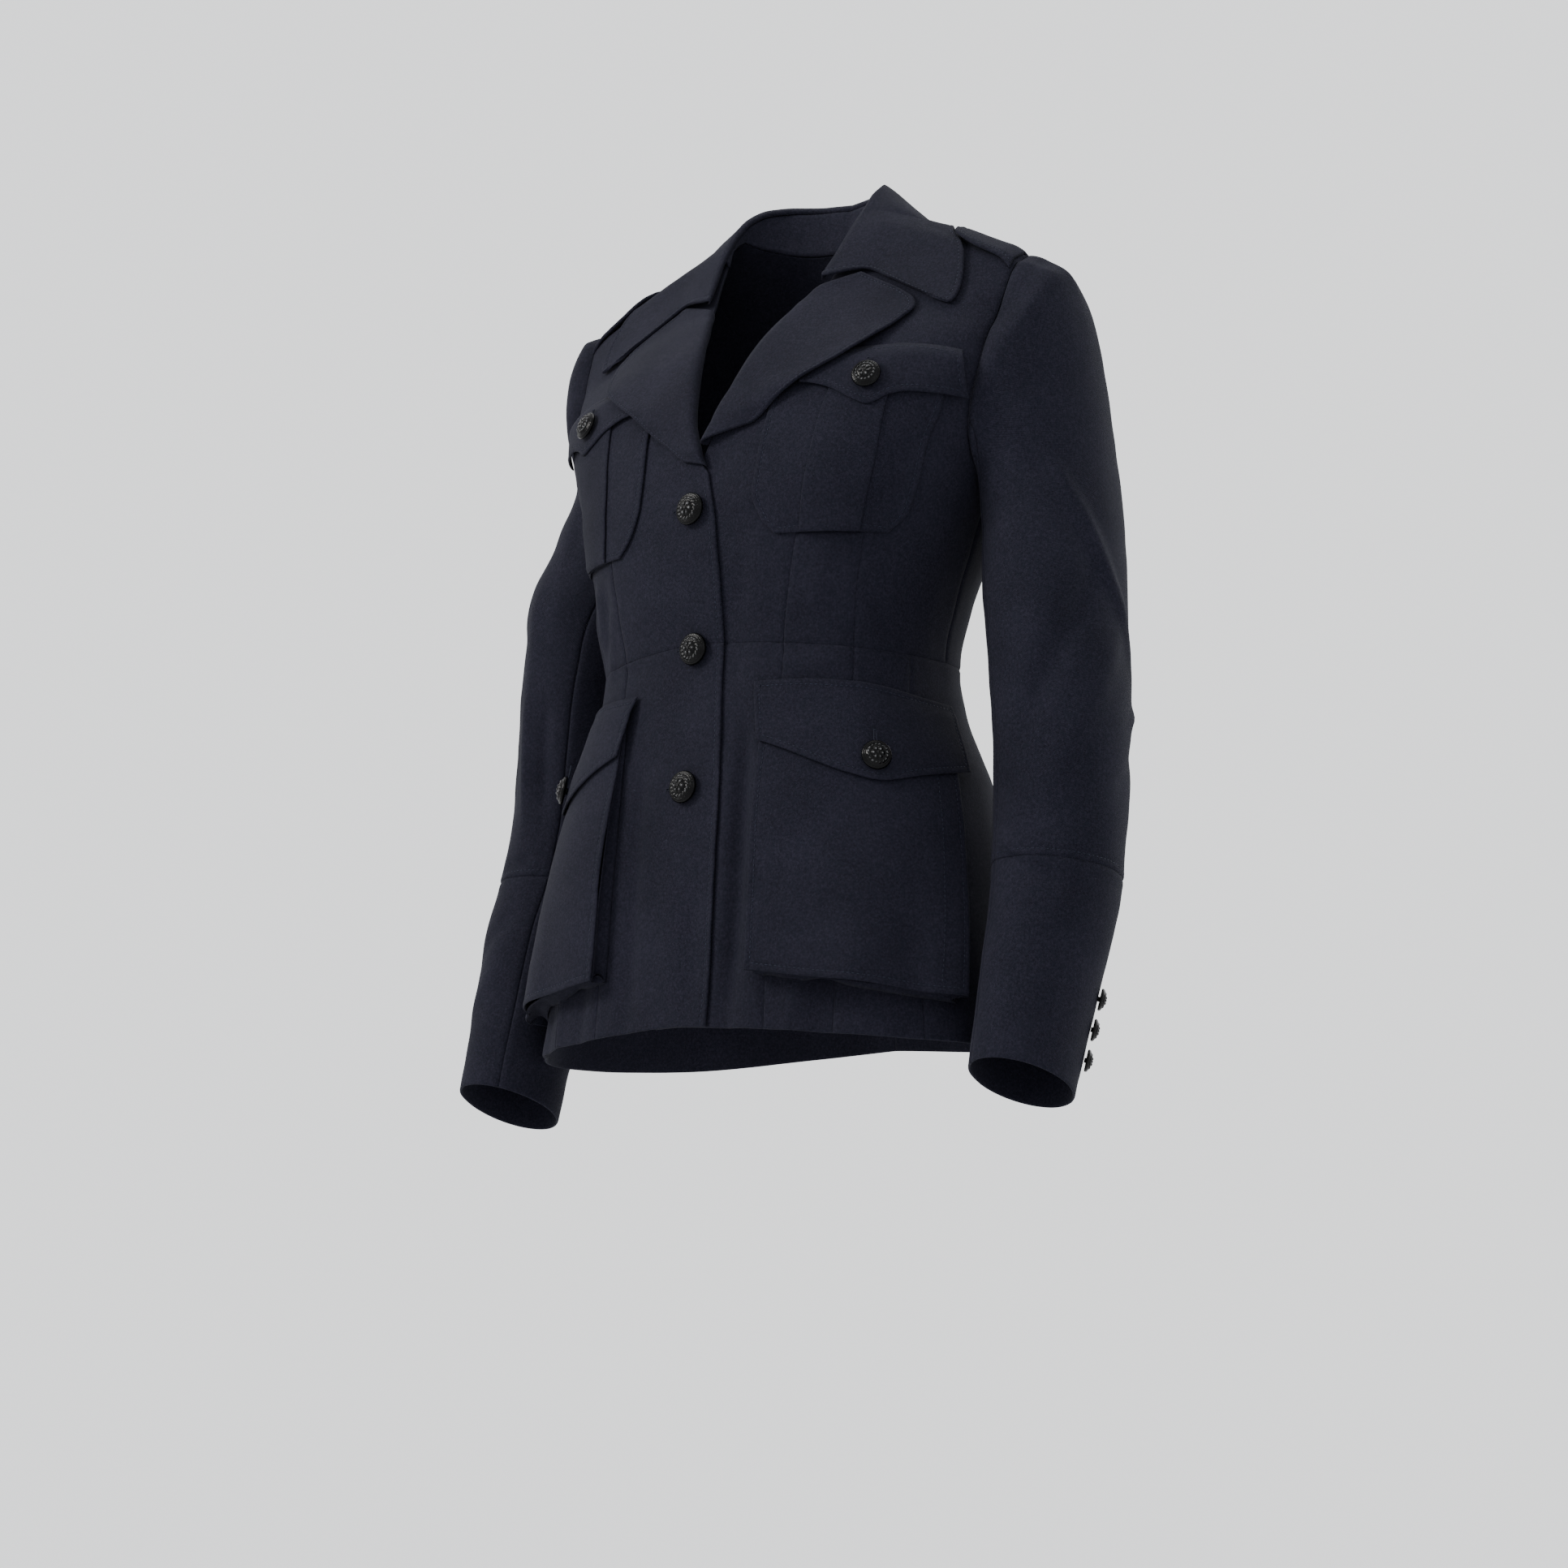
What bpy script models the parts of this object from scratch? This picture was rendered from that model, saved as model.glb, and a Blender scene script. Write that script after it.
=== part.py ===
"""Military-style jacket, as the solids of the pieces that are cut and sewn.

Lengths in this file are millimetres, and MM turns them into Blender's metres. The origin is the
middle of the neck's base, +X is the wearer's left, +Y the back and +Z up. A place on the cloth is
given by its level, which is its height at the centre front, and by its x or by its turn, the angle
round the body from the centre front, 90 degrees at the side and 180 at the centre back.
"""
import math

import bmesh
import bpy
import numpy as np

MM = 0.001

# Cloth walls and seams
BODY_CLOTH = 2.0
SLEEVE_CLOTH = 1.8
POCKET_CLOTH = 1.6
LAPEL_CLOTH = 2.2
STRAP_CLOTH = 2.4
SEAM_GAP = 0.36
LAY_GAP = 0.4
DROP_POWER = 1.2

# Heights
HEM = -602
BREAK = -213
POCKET_SEAM_TOP = -262
UNDERARM = -213
SHOULDER = 17

# Colours, from the photograph
NAVY = (0.012, 0.013, 0.022)
BUTTON_BLACK = (0.008, 0.008, 0.009)


class Table:
    """A table with named columns, read on a smooth curve through its rows."""

    def __init__(self, names, *rows):
        data = np.array(sorted(rows), float)
        self.at = data[:, 0]
        self.columns = dict(zip(names.split()[1:], data[:, 1:].T))

    def __call__(self, name, at):
        x, y = self.at, self.columns[name]
        step = np.diff(x)
        rise = np.diff(y) / step
        slope = np.concatenate([rise[:1], np.zeros(len(rise) - 1), rise[-1:]])
        before, after = rise[:-1], rise[1:]
        same = before * after > 0
        total = np.where(same, before + after, 1)
        slope[1:-1] = np.where(same, 2 * before * after / total, 0)
        at = np.clip(np.asarray(at, float), x[0], x[-1])
        i = np.clip(np.searchsorted(x, at) - 1, 0, len(x) - 2)
        t = (at - x[i]) / step[i]
        start = y[i] * (1 + 2 * t) * (1 - t) ** 2 + slope[i] * step[i] * t * (1 - t) ** 2
        end = y[i + 1] * t * t * (3 - 2 * t) + slope[i + 1] * step[i] * t * t * (t - 1)
        return start + end


# Rings round the body: a superellipse of these half-widths and depths, whose sides drop below its
# front. The front and back squareness round the two halves of a ring on their own.
BODY = Table(
    "level half_width front back middle square back_square drop shoulder",
    (17, 196, 0, 0, 6, 2.0, 2.0, 75, 0),
    (12, 196, 9, 11, 6, 2.1, 2.1, 74, 5),
    (4, 196, 16, 25, 6, 2.3, 2.3, 71, 11),
    (-12, 196, 22, 44, 5.5, 2.5, 2.5, 66, 14),
    (-29, 196, 30, 56, 5, 2.6, 2.6, 62, 15),
    (-60, 195, 46, 69, 4, 2.8, 2.8, 50, 12),
    (-87, 194, 65, 79, 3, 2.8, 2.8, 36, 8),
    (-115, 192, 84, 87, 2, 2.7, 2.7, 25, 4),
    (-145, 188, 99, 94, 1, 2.6, 2.6, 16, 1),
    (-175, 180, 111, 98, 0, 2.5, 2.5, 9, 0),
    (-213, 166, 119, 99, -1, 2.5, 2.4, 4, 0),
    (-235, 159, 121, 98, -2, 2.5, 2.3, 3, 0),
    (-262, 151, 121, 96, -2, 2.5, 2.25, 3, 0),
    (-295, 141, 116, 90, -3, 2.6, 2.2, 6, 0),
    (-333, 133, 109, 86, -4, 2.7, 2.2, 11, 0),
    (-365, 137, 111, 91, -4, 2.7, 2.2, 10, 0),
    (-420, 155, 117, 104, -4, 2.6, 2.3, 8, 0),
    (-480, 168, 123, 114, -4, 2.5, 2.35, 8, 0),
    (-545, 180, 127, 121, -4, 2.45, 2.4, 10, 0),
    (-602, 192, 131, 127, -4, 2.45, 2.45, 14, 0),
)
# The wearer's waist and hips stand a little to the wearer's right of the neck
SWAY = Table("z x", (-645, -5), (-480, -5), (-333, -6), (-262, -3), (-205, 0), (40, 0))

# Seams of the body, by the x of the front ones and the turn of the others
SEAMS = Table(
    "level front_a front_b front_c side_back back_princess",
    (17, 102, 142, 180, 120, 112),
    (-115, 100, 146, 180, 120, 100),
    (-175, 96, 143, 170, 120, 90),
    (-262, 84, 124, 146, 120, 74),
    (-300, 77, 117, 136, 120, 66),
    (-333, 71.5, 113, 131, 121, 62),
    (-365, 71.5, 114, 134, 122, 62),
    (-480, 73, 118, 153, 123, 69),
    (-602, 75, 122, 172, 124, 80),
)
ARMHOLE = Table(
    "level front back",
    (17, 90, 90),
    (12, 87, 94),
    (4, 84, 97),
    (-12, 80.5, 101),
    (-29, 78, 104),
    (-60, 75, 106),
    (-87, 72.8, 108),
    (-115, 72, 109),
    (-145, 72, 109),
    (-175, 75, 107),
    (-200, 82, 101),
    (-210, 89, 97),
    (-213, 93, 93),
)
SIDE_SEAM_TURN = 93

# The front edges: how far each front reaches past the centre, and the roll line of the lapel above
FRONT_EDGE = Table(
    "level over under",
    (-213, 9, 8),
    (-240, 18, 14),
    (-262, 21.5, 17),
    (-300, 24, 18),
    (-350, 24, 18),
    (-402, 27, 18),
    (-457, 30, 18),
    (-569, 30, 18),
    (-602, 29, 18),
)
ROLL_LINE = Table(
    "level x",
    (-213, -9),
    (-200, 1),
    (-175, 13),
    (-145, 22),
    (-115, 30),
    (-87, 40),
    (-60, 52),
    (-29, 57),
    (-12, 59),
    (4, 61),
    (12, 61.8),
    (17, 62),
)
BACK_NECK = Table("level x", (-12, 0), (-7, 21), (-1, 36), (4, 45), (12, 57), (17, 62))
UNDERLAP_DEPTH = 2.8

# Soft flutes of the skirt below the hip, deepest at the hem
FLUTES = Table("number turn width depth", (0, 58, 7, -3), (1, 83, 8, 3), (2, 108, 9, -4), (3, 132, 10, 5),
               (4, 158, 10, -4))
FLUTE_TOP = -470

UPPER_LEVELS = (-333, -295, -262, -235, -213, -200, -175, -145, -115, -87, -60, -29, -12, 4, 12, 17)
BACK_LEVELS = (*UPPER_LEVELS[:13], -7, -1, *UPPER_LEVELS[13:])
LOWER_LEVELS = (-602, -573, -545, -510, -480, -450, -420, -392, -365, -333)


def flute(level, turn):
    """How far a flute of the skirt moves the cloth out, in millimetres."""
    fade = np.clip((FLUTE_TOP - level) / (FLUTE_TOP - HEM), 0, 1) ** 1.3
    out = np.zeros_like(turn)
    for place, width, depth in zip(*(FLUTES.columns[name] for name in ("turn", "width", "depth"))):
        out = out + depth * np.exp(-(((np.abs(turn) - place) / width) ** 2))
    return out * fade


def body_point(level, turn):
    """A point of the outer cloth of the body."""
    level, turn = np.broadcast_arrays(np.asarray(level, float), np.asarray(turn, float))
    across, along = np.sin(np.radians(turn)), np.cos(np.radians(turn))
    forward = along >= 0
    power = 2 / np.where(forward, BODY("square", level), BODY("back_square", level))
    share = np.abs(across) ** power
    depth = np.where(forward, -BODY("front", level), BODY("back", level))
    push = np.where(forward, -1, 1) * BODY("shoulder", level) * share ** 2
    out = flute(level, np.degrees(np.arccos(np.clip(along, -1, 1))))
    x = np.sign(across) * (BODY("half_width", level) + out) * share
    y = BODY("middle", level) + (depth + np.sign(depth) * out) * np.abs(along) ** power + push
    z = level - BODY("drop", level) * share ** DROP_POWER
    return np.stack([x, y, z], -1)


def unit(vectors):
    return vectors / np.maximum(np.linalg.norm(vectors, axis=-1, keepdims=True), 1e-9)


def body_normal(level, turn):
    """The outward direction of the body's cloth."""
    level, turn = np.broadcast_arrays(np.asarray(level, float), np.asarray(turn, float))
    level = np.clip(level, HEM + 0.6, SHOULDER - 2.0)
    step = 0.5
    round_it = body_point(level, turn + step) - body_point(level, turn - step)
    upwards = body_point(level + step, turn) - body_point(level - step, turn)
    return unit(np.cross(round_it, upwards))


def turn_at(level, x, square="square"):
    """The turn of the front cloth at an x, or with the back's squareness 180 less the back's turn."""
    share = np.clip(np.abs(x) / BODY("half_width", level), 0, 1)
    return np.sign(x) * np.degrees(np.arcsin(share ** (BODY(square, level) / 2)))


def level_at(x, z):
    """The level of the front cloth whose point at x has the height z."""
    x, z = np.broadcast_arrays(np.asarray(x, float), np.asarray(z, float))
    level = z.astype(float)
    for _ in range(12):
        share = np.clip(np.abs(x) / BODY("half_width", level), 0, 1)
        level = 0.5 * level + 0.5 * (z + BODY("drop", level) * share ** DROP_POWER)
    return level


def girth_turn(level, girth):
    """The turn at a distance round the body from the centre front."""
    level, girth = np.broadcast_arrays(np.asarray(level, float), np.asarray(girth, float))
    turns = np.linspace(0, 130, 131)
    out = np.empty(level.shape)
    for place in np.ndindex(level.shape):
        line = body_point(np.full_like(turns, level[place]), turns)
        reach = np.concatenate([[0], np.cumsum(np.linalg.norm(np.diff(line, axis=0), axis=1))])
        out[place] = np.sign(girth[place]) * np.interp(abs(girth[place]), reach, turns)
    return out


def lifted(level, turn, lift, side):
    """Points above the body's cloth, on the wearer's left for side 1 and right for side -1."""
    points = body_point(level, turn) + body_normal(level, turn) * np.asarray(lift, float)[..., None]
    return points * np.array([side, 1, 1])


def on_front(x, z, lift, side):
    """Points above the front, from their x and height."""
    level = level_at(x, z)
    return lifted(level, turn_at(level, x), lift, side)


def cloth_material(name, colour, roughness):
    material = bpy.data.materials.new(name)
    material.use_nodes = True
    shader = material.node_tree.nodes["Principled BSDF"]
    shader.inputs["Base Color"].default_value = (*colour, 1)
    shader.inputs["Roughness"].default_value = roughness
    shader.inputs["Metallic"].default_value = 0
    return material


def swayed(points):
    """The points moved with the stance of the waist and hips."""
    points = np.array(points)
    points[:, 0] += SWAY("x", points[:, 2])
    return points


def add_object(name, points, faces, colour=NAVY, roughness=0.9, sways=True):
    """One closed piece from its points in millimetres."""
    if sways:
        points = swayed(points)
    mesh = bpy.data.meshes.new(name)
    mesh.from_pydata([tuple(point * MM) for point in points], [], faces)
    shell = bmesh.new()
    shell.from_mesh(mesh)
    bmesh.ops.recalc_face_normals(shell, faces=shell.faces)
    shell.to_mesh(mesh)
    shell.free()
    mesh.shade_smooth()
    mesh.set_sharp_from_angle(angle=math.radians(40))
    mesh.materials.append(cloth_material(name, colour, roughness))
    piece = bpy.data.objects.new(name, mesh)
    bpy.context.scene.collection.objects.link(piece)
    return piece


def seam_moves(points, used):
    """Moves the points on the edge of the used cells inwards by half a seam gap, mitred at corners."""
    rows, columns = used.shape
    inward = {}
    sides = (
        ((0, 0), (0, 1), (-1, 0)),
        ((1, 0), (1, 1), (1, 0)),
        ((0, 0), (1, 0), (0, -1)),
        ((0, 1), (1, 1), (0, 1)),
    )
    for row, column in zip(*np.nonzero(used)):
        centre = points[row:row + 2, column:column + 2].reshape(4, 3).mean(axis=0)
        for first, second, beyond in sides:
            r, c = row + beyond[0], column + beyond[1]
            if 0 <= r < rows and 0 <= c < columns and used[r, c]:
                continue
            a = (row + first[0], column + first[1])
            b = (row + second[0], column + second[1])
            run = unit(points[b] - points[a])
            into = centre - (points[a] + points[b]) / 2
            into = unit(into - run * (into @ run))
            inward.setdefault(a, []).append(into)
            inward.setdefault(b, []).append(into)
    moves = np.zeros_like(points)
    for place, directions in inward.items():
        total = np.sum(directions, axis=0)
        spread = max(len(directions) * 0.5, float(total @ total) / len(directions))
        moves[place] = total / spread * SEAM_GAP / 2
    return moves


def add_sheet(name, outer, inner, used=None, sways=True):
    """A wall of cloth between an outer and an inner grid of points, over the used cells."""
    rows, columns = outer.shape[0] - 1, outer.shape[1] - 1
    if used is None:
        used = np.ones((rows, columns), bool)
    moves = seam_moves(outer, used)
    outer, inner = outer + moves, inner + moves
    corner = [(0, 0), (0, 1), (1, 1), (1, 0)]
    number = {}
    points = []
    faces = []
    edges = {}

    def index(layer, place):
        key = (layer, *place)
        if key not in number:
            number[key] = len(points)
            points.append((outer if layer == 0 else inner)[place])
        return number[key]

    for row, column in zip(*np.nonzero(used)):
        places = [(row + r, column + c) for r, c in corner]
        across = [np.linalg.norm(outer[places[k]] - outer[places[k + 2]]) for k in (0, 1)]
        first, second, third, last = places if across[0] < across[1] else places[1:] + places[:1]
        for triangle in ((first, second, third), (first, third, last)):
            faces.append([index(0, place) for place in triangle])
            faces.append([index(1, place) for place in reversed(triangle)])
        for a, b in zip(places, places[1:] + places[:1]):
            edges[(a, b)] = (b, a) not in edges and edges.get((a, b), True)
            if (b, a) in edges:
                edges[(a, b)] = edges[(b, a)] = False
    # each wall face is cut on the same diagonal as the wall of the piece across the seam
    for (a, b), alone in edges.items():
        if alone:
            low, high = min(a, b), max(a, b)
            faces.append([index(0, low), index(0, high), index(1, high)])
            faces.append([index(0, low), index(1, high), index(1, low)])
    return add_object(name, points, faces, sways=sways)


def thick(points, normals, thickness):
    """The inner face of a wall whose outer face is the points."""
    return points - normals * thickness


def grid_normals(points, outward):
    """Normals of a free grid, turned to the side of the outward direction."""
    along = np.gradient(points, axis=1)
    down = np.gradient(points, axis=0)
    normals = unit(np.cross(along, down))
    sign = np.sign(np.sum(normals * outward, axis=-1, keepdims=True).mean())
    return normals * sign


def columns_between(stops, cells):
    """Turns of the columns of a row, with so many cells between one stop and the next."""
    parts = [np.linspace(a, b, n + 1)[:-1] for a, b, n in zip(stops[:-1], stops[1:], cells)]
    return np.concatenate([*parts, stops[-1:]])


def body_wall(levels, rows_of_turns, side, sink=None):
    """Outer and inner points of a stretch of the body, with the shoulder seam's wall upright."""
    turn = np.array(rows_of_turns)
    level = np.repeat(np.array(levels, float)[:, None], turn.shape[1], axis=1)
    outer = body_point(level, turn)
    normal = body_normal(level, turn)
    top = level >= SHOULDER
    if top.any():
        run = np.gradient(outer, axis=1)
        upright = unit(np.cross(run, np.array([0.0, 1.0, 0.0])))
        upright = upright * np.sign(upright[..., 2:3])
        normal = np.where(top[..., None], upright, normal)
    if sink is not None:
        outer = outer - normal * sink(level, outer[..., 0])[..., None]
    inner = thick(outer, normal, BODY_CLOTH)
    mirror = np.array([side, 1, 1])
    return outer * mirror, inner * mirror


def smooth_step(low, high, at):
    t = np.clip((np.asarray(at, float) - low) / (high - low), 0, 1)
    return t * t * (3 - 2 * t)


def underlap(level, x):
    """The wearer's left front lies this far in, under the edge of the right front."""
    edge = FRONT_EDGE("over", level)
    near = 1 - smooth_step(edge + 2, edge + 32, x)
    return UNDERLAP_DEPTH * near * (1 - smooth_step(-203, -180, level))


FRONT_CELLS = (4, 3, 5)


def front_stops(level, side):
    """Turns of the inner limit, the two princess seams and the outer limit of a front."""
    if level > BREAK:
        inner = float(ROLL_LINE("x", level))
    else:
        inner = -float(FRONT_EDGE("under" if side > 0 else "over", level))
    x = [inner, float(SEAMS("front_a", level)), float(SEAMS("front_b", level))]
    turns = [float(turn_at(level, place)) for place in x]
    outer = float(ARMHOLE("front", level)) if level >= UNDERARM else SIDE_SEAM_TURN
    return np.array([*turns, outer])


def upper_fronts():
    for side, name in ((1, "left"), (-1, "right")):
        turns = [columns_between(front_stops(level, side), FRONT_CELLS) for level in UPPER_LEVELS]
        outer, inner = body_wall(UPPER_LEVELS, turns, side, underlap if side > 0 else None)
        used = np.ones((len(UPPER_LEVELS) - 1, sum(FRONT_CELLS)), bool)
        below = np.array(UPPER_LEVELS[:-1]) < POCKET_SEAM_TOP
        strap = np.zeros_like(used)
        strap[below, FRONT_CELLS[0]:FRONT_CELLS[0] + FRONT_CELLS[1]] = True
        add_sheet(f"front_upper_{name}", outer, inner, used & ~strap)
        add_sheet(f"front_strap_upper_{name}", outer, inner, strap)


LOWER_FRONT_CELLS = (4, 2, 3)


def lower_fronts():
    names = ("front_skirt", "front_strap_lower", "side_front_skirt")
    for side, name in ((1, "left"), (-1, "right")):
        turns = []
        for level in LOWER_LEVELS:
            edge = -float(FRONT_EDGE("under" if side > 0 else "over", level))
            x = [edge, *(float(SEAMS(seam, level)) for seam in ("front_a", "front_b", "front_c"))]
            turns.append(columns_between(turn_at(level, np.array(x)), LOWER_FRONT_CELLS))
        outer, inner = body_wall(LOWER_LEVELS, turns, side, underlap if side > 0 else None)
        start = 0
        for piece, cells in zip(names, LOWER_FRONT_CELLS):
            part = slice(start, start + cells + 1)
            add_sheet(f"{piece}_{name}", outer[:, part], inner[:, part])
            start += cells


def backs():
    for side, name in ((1, "left"), (-1, "right")):
        turns = []
        for level in BACK_LEVELS:
            outer_turn = float(ARMHOLE("back", level)) if level >= UNDERARM else SIDE_SEAM_TURN
            princess = 180 - float(turn_at(level, SEAMS("back_princess", level), "back_square"))
            neck = float(BACK_NECK("x", level)) if level > -12 else 0.0
            centre = 180 - float(turn_at(level, neck, "back_square")) if neck > 0 else 180.0
            turns.append(columns_between(np.array([outer_turn, princess, centre]), (4, 4)))
        outer, inner = body_wall(BACK_LEVELS, turns, side)
        add_sheet(f"back_side_upper_{name}", outer[:, :5], inner[:, :5])
        add_sheet(f"back_centre_upper_{name}", outer[:, 4:], inner[:, 4:])
        turns = []
        for level in LOWER_LEVELS:
            front = float(turn_at(level, SEAMS("front_c", level)))
            stops = np.array([front, float(SEAMS("side_back", level)), 180.0])
            turns.append(columns_between(stops, (4, 5)))
        outer, inner = body_wall(LOWER_LEVELS, turns, side)
        add_sheet(f"side_skirt_{name}", outer[:, :5], inner[:, :5])
        add_sheet(f"back_skirt_{name}", outer[:, 4:], inner[:, 4:])


# Rings of the sleeve: the ends of each ring's long way across, its place and half its depth front to
# back, and how far its back edge sits below its front, for each millimetre of depth
SLEEVE = Table(
    "ring outer_x outer_z inner_x inner_z y deep slant",
    (0, 196, -58, 165, -217, 2, 44, 0.0),
    (1, 211, -64, 165.5, -223, 6, 50, 0.02),
    (2, 226, -76, 163, -230, 13, 55, 0.04),
    (3, 232, -110, 160, -239, 21, 58, 0.06),
    (4, 234, -155, 156, -251, 29, 59.5, 0.06),
    (5, 239, -205, 154, -267, 32, 60, 0.04),
    (6, 249, -252, 157, -291, 25, 59, 0.02),
    (7, 256, -300, 163, -323, 18, 57, 0.04),
    (8, 262, -345, 170, -358, 12, 55.5, 0.06),
    (9, 266, -390, 176, -397, 7, 53.5, 0.08),
    (10, 268, -440, 179, -443, 2, 51, 0.11),
    (11, 268, -500, 181, -500, -6, 48, 0.15),
    (12, 267, -536, 184, -536, -16, 45.5, 0.2),
    (13, 263, -572, 187, -572, -27, 43, 0.26),
    (14, 261, -608, 190, -608, -39, 40.5, 0.32),
    (15, 260, -644, 192, -644, -51, 38.5, 0.38),
)
# The wearer's right arm hangs a little further out and back than the left, and is bent a little higher
RIGHT_ARM = Table(
    "ring out back up",
    (0, 0, 0, 0),
    (1, 2, 2, 12),
    (2, -2, 8, 10),
    (3, -10, 17, 5),
    (4, -9, 14, 1),
    (5, 4, 0, 0),
    (6, 10, -6, 0),
    (7, 4, -2, 1),
    (8, 0, 0, 3),
    (9, -3, 2, 7),
    (10, -2, 5, 13),
    (11, 4, 6, 19),
    (12, 9, 4, 14),
    (13, 10, 3, 7),
    (14, 9, 3, 2),
    (15, 9, 5, 0),
)
CAP_RINGS = 4
ELBOW_RING = 11
ARMHOLE_SHIFT = 0.5
UNDER_SEAM_ANGLE = 122
BACK_SEAM_ANGLE = 291


def armhole_ring():
    """The armhole's points, from the shoulder down the front and up the back, with their ring angles."""
    levels = [level for level in UPPER_LEVELS if level >= UNDERARM]
    front = [body_point(level, ARMHOLE("front", level)) for level in reversed(levels)]
    back = [body_point(level, ARMHOLE("back", level)) for level in levels[1:-1]]
    points = np.array(front + back)
    ring = ring_frame(0)
    flat = points - ring["centre"]
    high = (SLEEVE("outer_z", 0) - SLEEVE("inner_z", 0)) / 2
    angle = np.degrees(np.arctan2(-flat[:, 1] / ring["deep"], flat[:, 2] / high)) % 360
    angle[0] = 0.0
    return points, angle


def ring_frame(ring):
    ox, oz, ix, iz = (SLEEVE(name, ring) for name in ("outer_x", "outer_z", "inner_x", "inner_z"))
    zero = np.zeros_like(ox)
    return {
        "centre": np.stack([(ox + ix) / 2, SLEEVE("y", ring), (oz + iz) / 2], -1),
        "reach": np.stack([(ox - ix) / 2, zero, (oz - iz) / 2], -1),
        "deep": SLEEVE("deep", ring),
        "slant": SLEEVE("slant", ring),
    }


def sleeve_ring(ring, angle):
    """Points of one ring of the sleeve, 0 degrees outermost, 90 in front and 180 against the body."""
    frame = ring_frame(ring)
    turn = np.radians(angle)
    forward = frame["deep"] * np.sin(turn)
    points = frame["centre"] + frame["reach"] * np.cos(turn)[:, None]
    points[:, 1] -= forward
    points[:, 2] += frame["slant"] * forward
    return points


def sleeve_point(ring, angle, hole_points, hole_angle, side):
    """A ring that starts as the armhole itself and becomes the plain ring over the cap."""
    points = sleeve_ring(ring, angle)
    if ring < CAP_RINGS:
        difference = hole_points - sleeve_ring(0.0, hole_angle)
        closed_angle = np.concatenate([hole_angle, [360.0]])
        closed = np.concatenate([difference, difference[:1]])
        carried = np.stack([np.interp(angle, closed_angle, closed[:, i]) for i in range(3)], -1)
        points = points + carried * (1 - smooth_step(0, CAP_RINGS, ring))
    if side < 0:
        pose = np.array([float(RIGHT_ARM(name, ring)) for name in ("out", "back", "up")])
        outer_side = ((1 + np.cos(np.radians(angle)))[:, None] / 2) ** 1.5
        weight = outer_side + (1 - outer_side) * smooth_step(5, 8, ring)
        points = points + pose * weight
    return points


def sleeves():
    hole, hole_angle = armhole_ring()
    rings = SLEEVE.at
    for side, name in ((1, "left"), (-1, "right")):
        surface = np.array([sleeve_point(ring, hole_angle, hole, hole_angle, side) for ring in rings])
        surface[0, :, 0] += ARMHOLE_SHIFT
        closed = np.concatenate([surface, surface[:, :1]], axis=1)
        wide = np.concatenate([closed[:, -2:-1], closed, closed[:, 1:2]], axis=1)
        centre = surface.mean(axis=1)[:, None]
        normal = grid_normals(wide, wide - centre)[:, 1:-1]
        inner = thick(closed, normal, SLEEVE_CLOTH)
        closed_angle = np.concatenate([hole_angle, [360.0]])
        under_start = int(np.argmin(np.abs(closed_angle - UNDER_SEAM_ANGLE)))
        under_end = int(np.argmin(np.abs(closed_angle - BACK_SEAM_ANGLE)))
        mirror = np.array([side, 1, 1])
        outside, inside = closed * mirror, inner * mirror
        # the top sleeve runs over the outer side, from the back seam round to the under seam
        over = list(range(under_end, len(closed_angle))) + list(range(1, under_start + 1))
        under = list(range(under_start, under_end + 1))
        for half, columns in (("top", over), ("under", under)):
            for stretch, part in (("upper", slice(0, ELBOW_RING + 1)), ("lower", slice(ELBOW_RING, None))):
                add_sheet(f"sleeve_{half}_{stretch}_{name}", outside[part][:, columns],
                          inside[part][:, columns], sways=False)


# The lapel's outer edge on the front, by x and height, and its height above the front there. The
# rows run up the roll line, one for each stretch between two rows of the front.
LAPEL = Table(
    "row edge_x edge_z edge_lift",
    (0, -2, -213, 1.9),
    (0.5, 14, -202, 1.9),
    (1, 30, -190, 1.9),
    (1.5, 47, -179, 2.4),
    (2, 66, -165, 8.0),
    (2.5, 86, -152.4, 10.5),
    (3, 106, -139, 9.6),
    (3.5, 121, -123.5, 6.0),
    (4, 131.5, -109, 3.2),
    (4.4, 136, -99, 2.8),
    (4.7, 132.5, -91.5, 2.8),
    (5, 124, -85, 3.0),
    (5.5, 102, -73, 3.4),
    (6, 80.5, -61.8, 3.8),
)
LAPEL_ROWS = (0.45, 0.7, 1, 1.5, 2, 2.5, 3, 3.5, 4, 4.4, 4.7, 5, 5.5, 6)
LEFT_LAPEL_START = 1.4
ROLL_LEVELS = (-213, -200, -175, -145, -115, -87, -60)
# The path across a lapel: distance from the roll line and height above the front, of the middle of
# the cloth. The first points are the roll itself.
ROLL_CURL = ((-0.9, -1.1), (-2.9, -0.5), (-4.1, 1.5), (-3.4, 3.9), (-1.0, 5.1))
LAPEL_SHARES = (0.12, 0.28, 0.46, 0.64, 0.82, 1.0)
ROLL_LIFT = 5.5


def lapel_path(width, edge_lift):
    """Distances and heights of the middle of the cloth across a lapel of this width."""
    size = min(1.0, max(0.7, width / 30))
    path = [(far * size, -1.1 + (high + 1.1) * size) for far, high in ROLL_CURL]
    top = -1.1 + (ROLL_LIFT + 1.1) * size
    for share in LAPEL_SHARES:
        path.append((share * width, top + (edge_lift - top) * share ** 1.4))
    return np.array(path)


def crosswise(path, thickness):
    """The path moved to both faces of the cloth."""
    run = unit(np.gradient(path, axis=0))
    away = np.stack([-run[:, 1], run[:, 0]], -1) * thickness / 2
    return path + away, path - away


def roll_point(row):
    """The x and height of the front's inner edge at a row of the lapel."""
    levels = np.array(ROLL_LEVELS, float)
    points = body_point(levels, turn_at(levels, ROLL_LINE("x", levels)))
    return np.array([np.interp(row, np.arange(len(levels)), points[:, axis]) for axis in (0, 2)])


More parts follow.
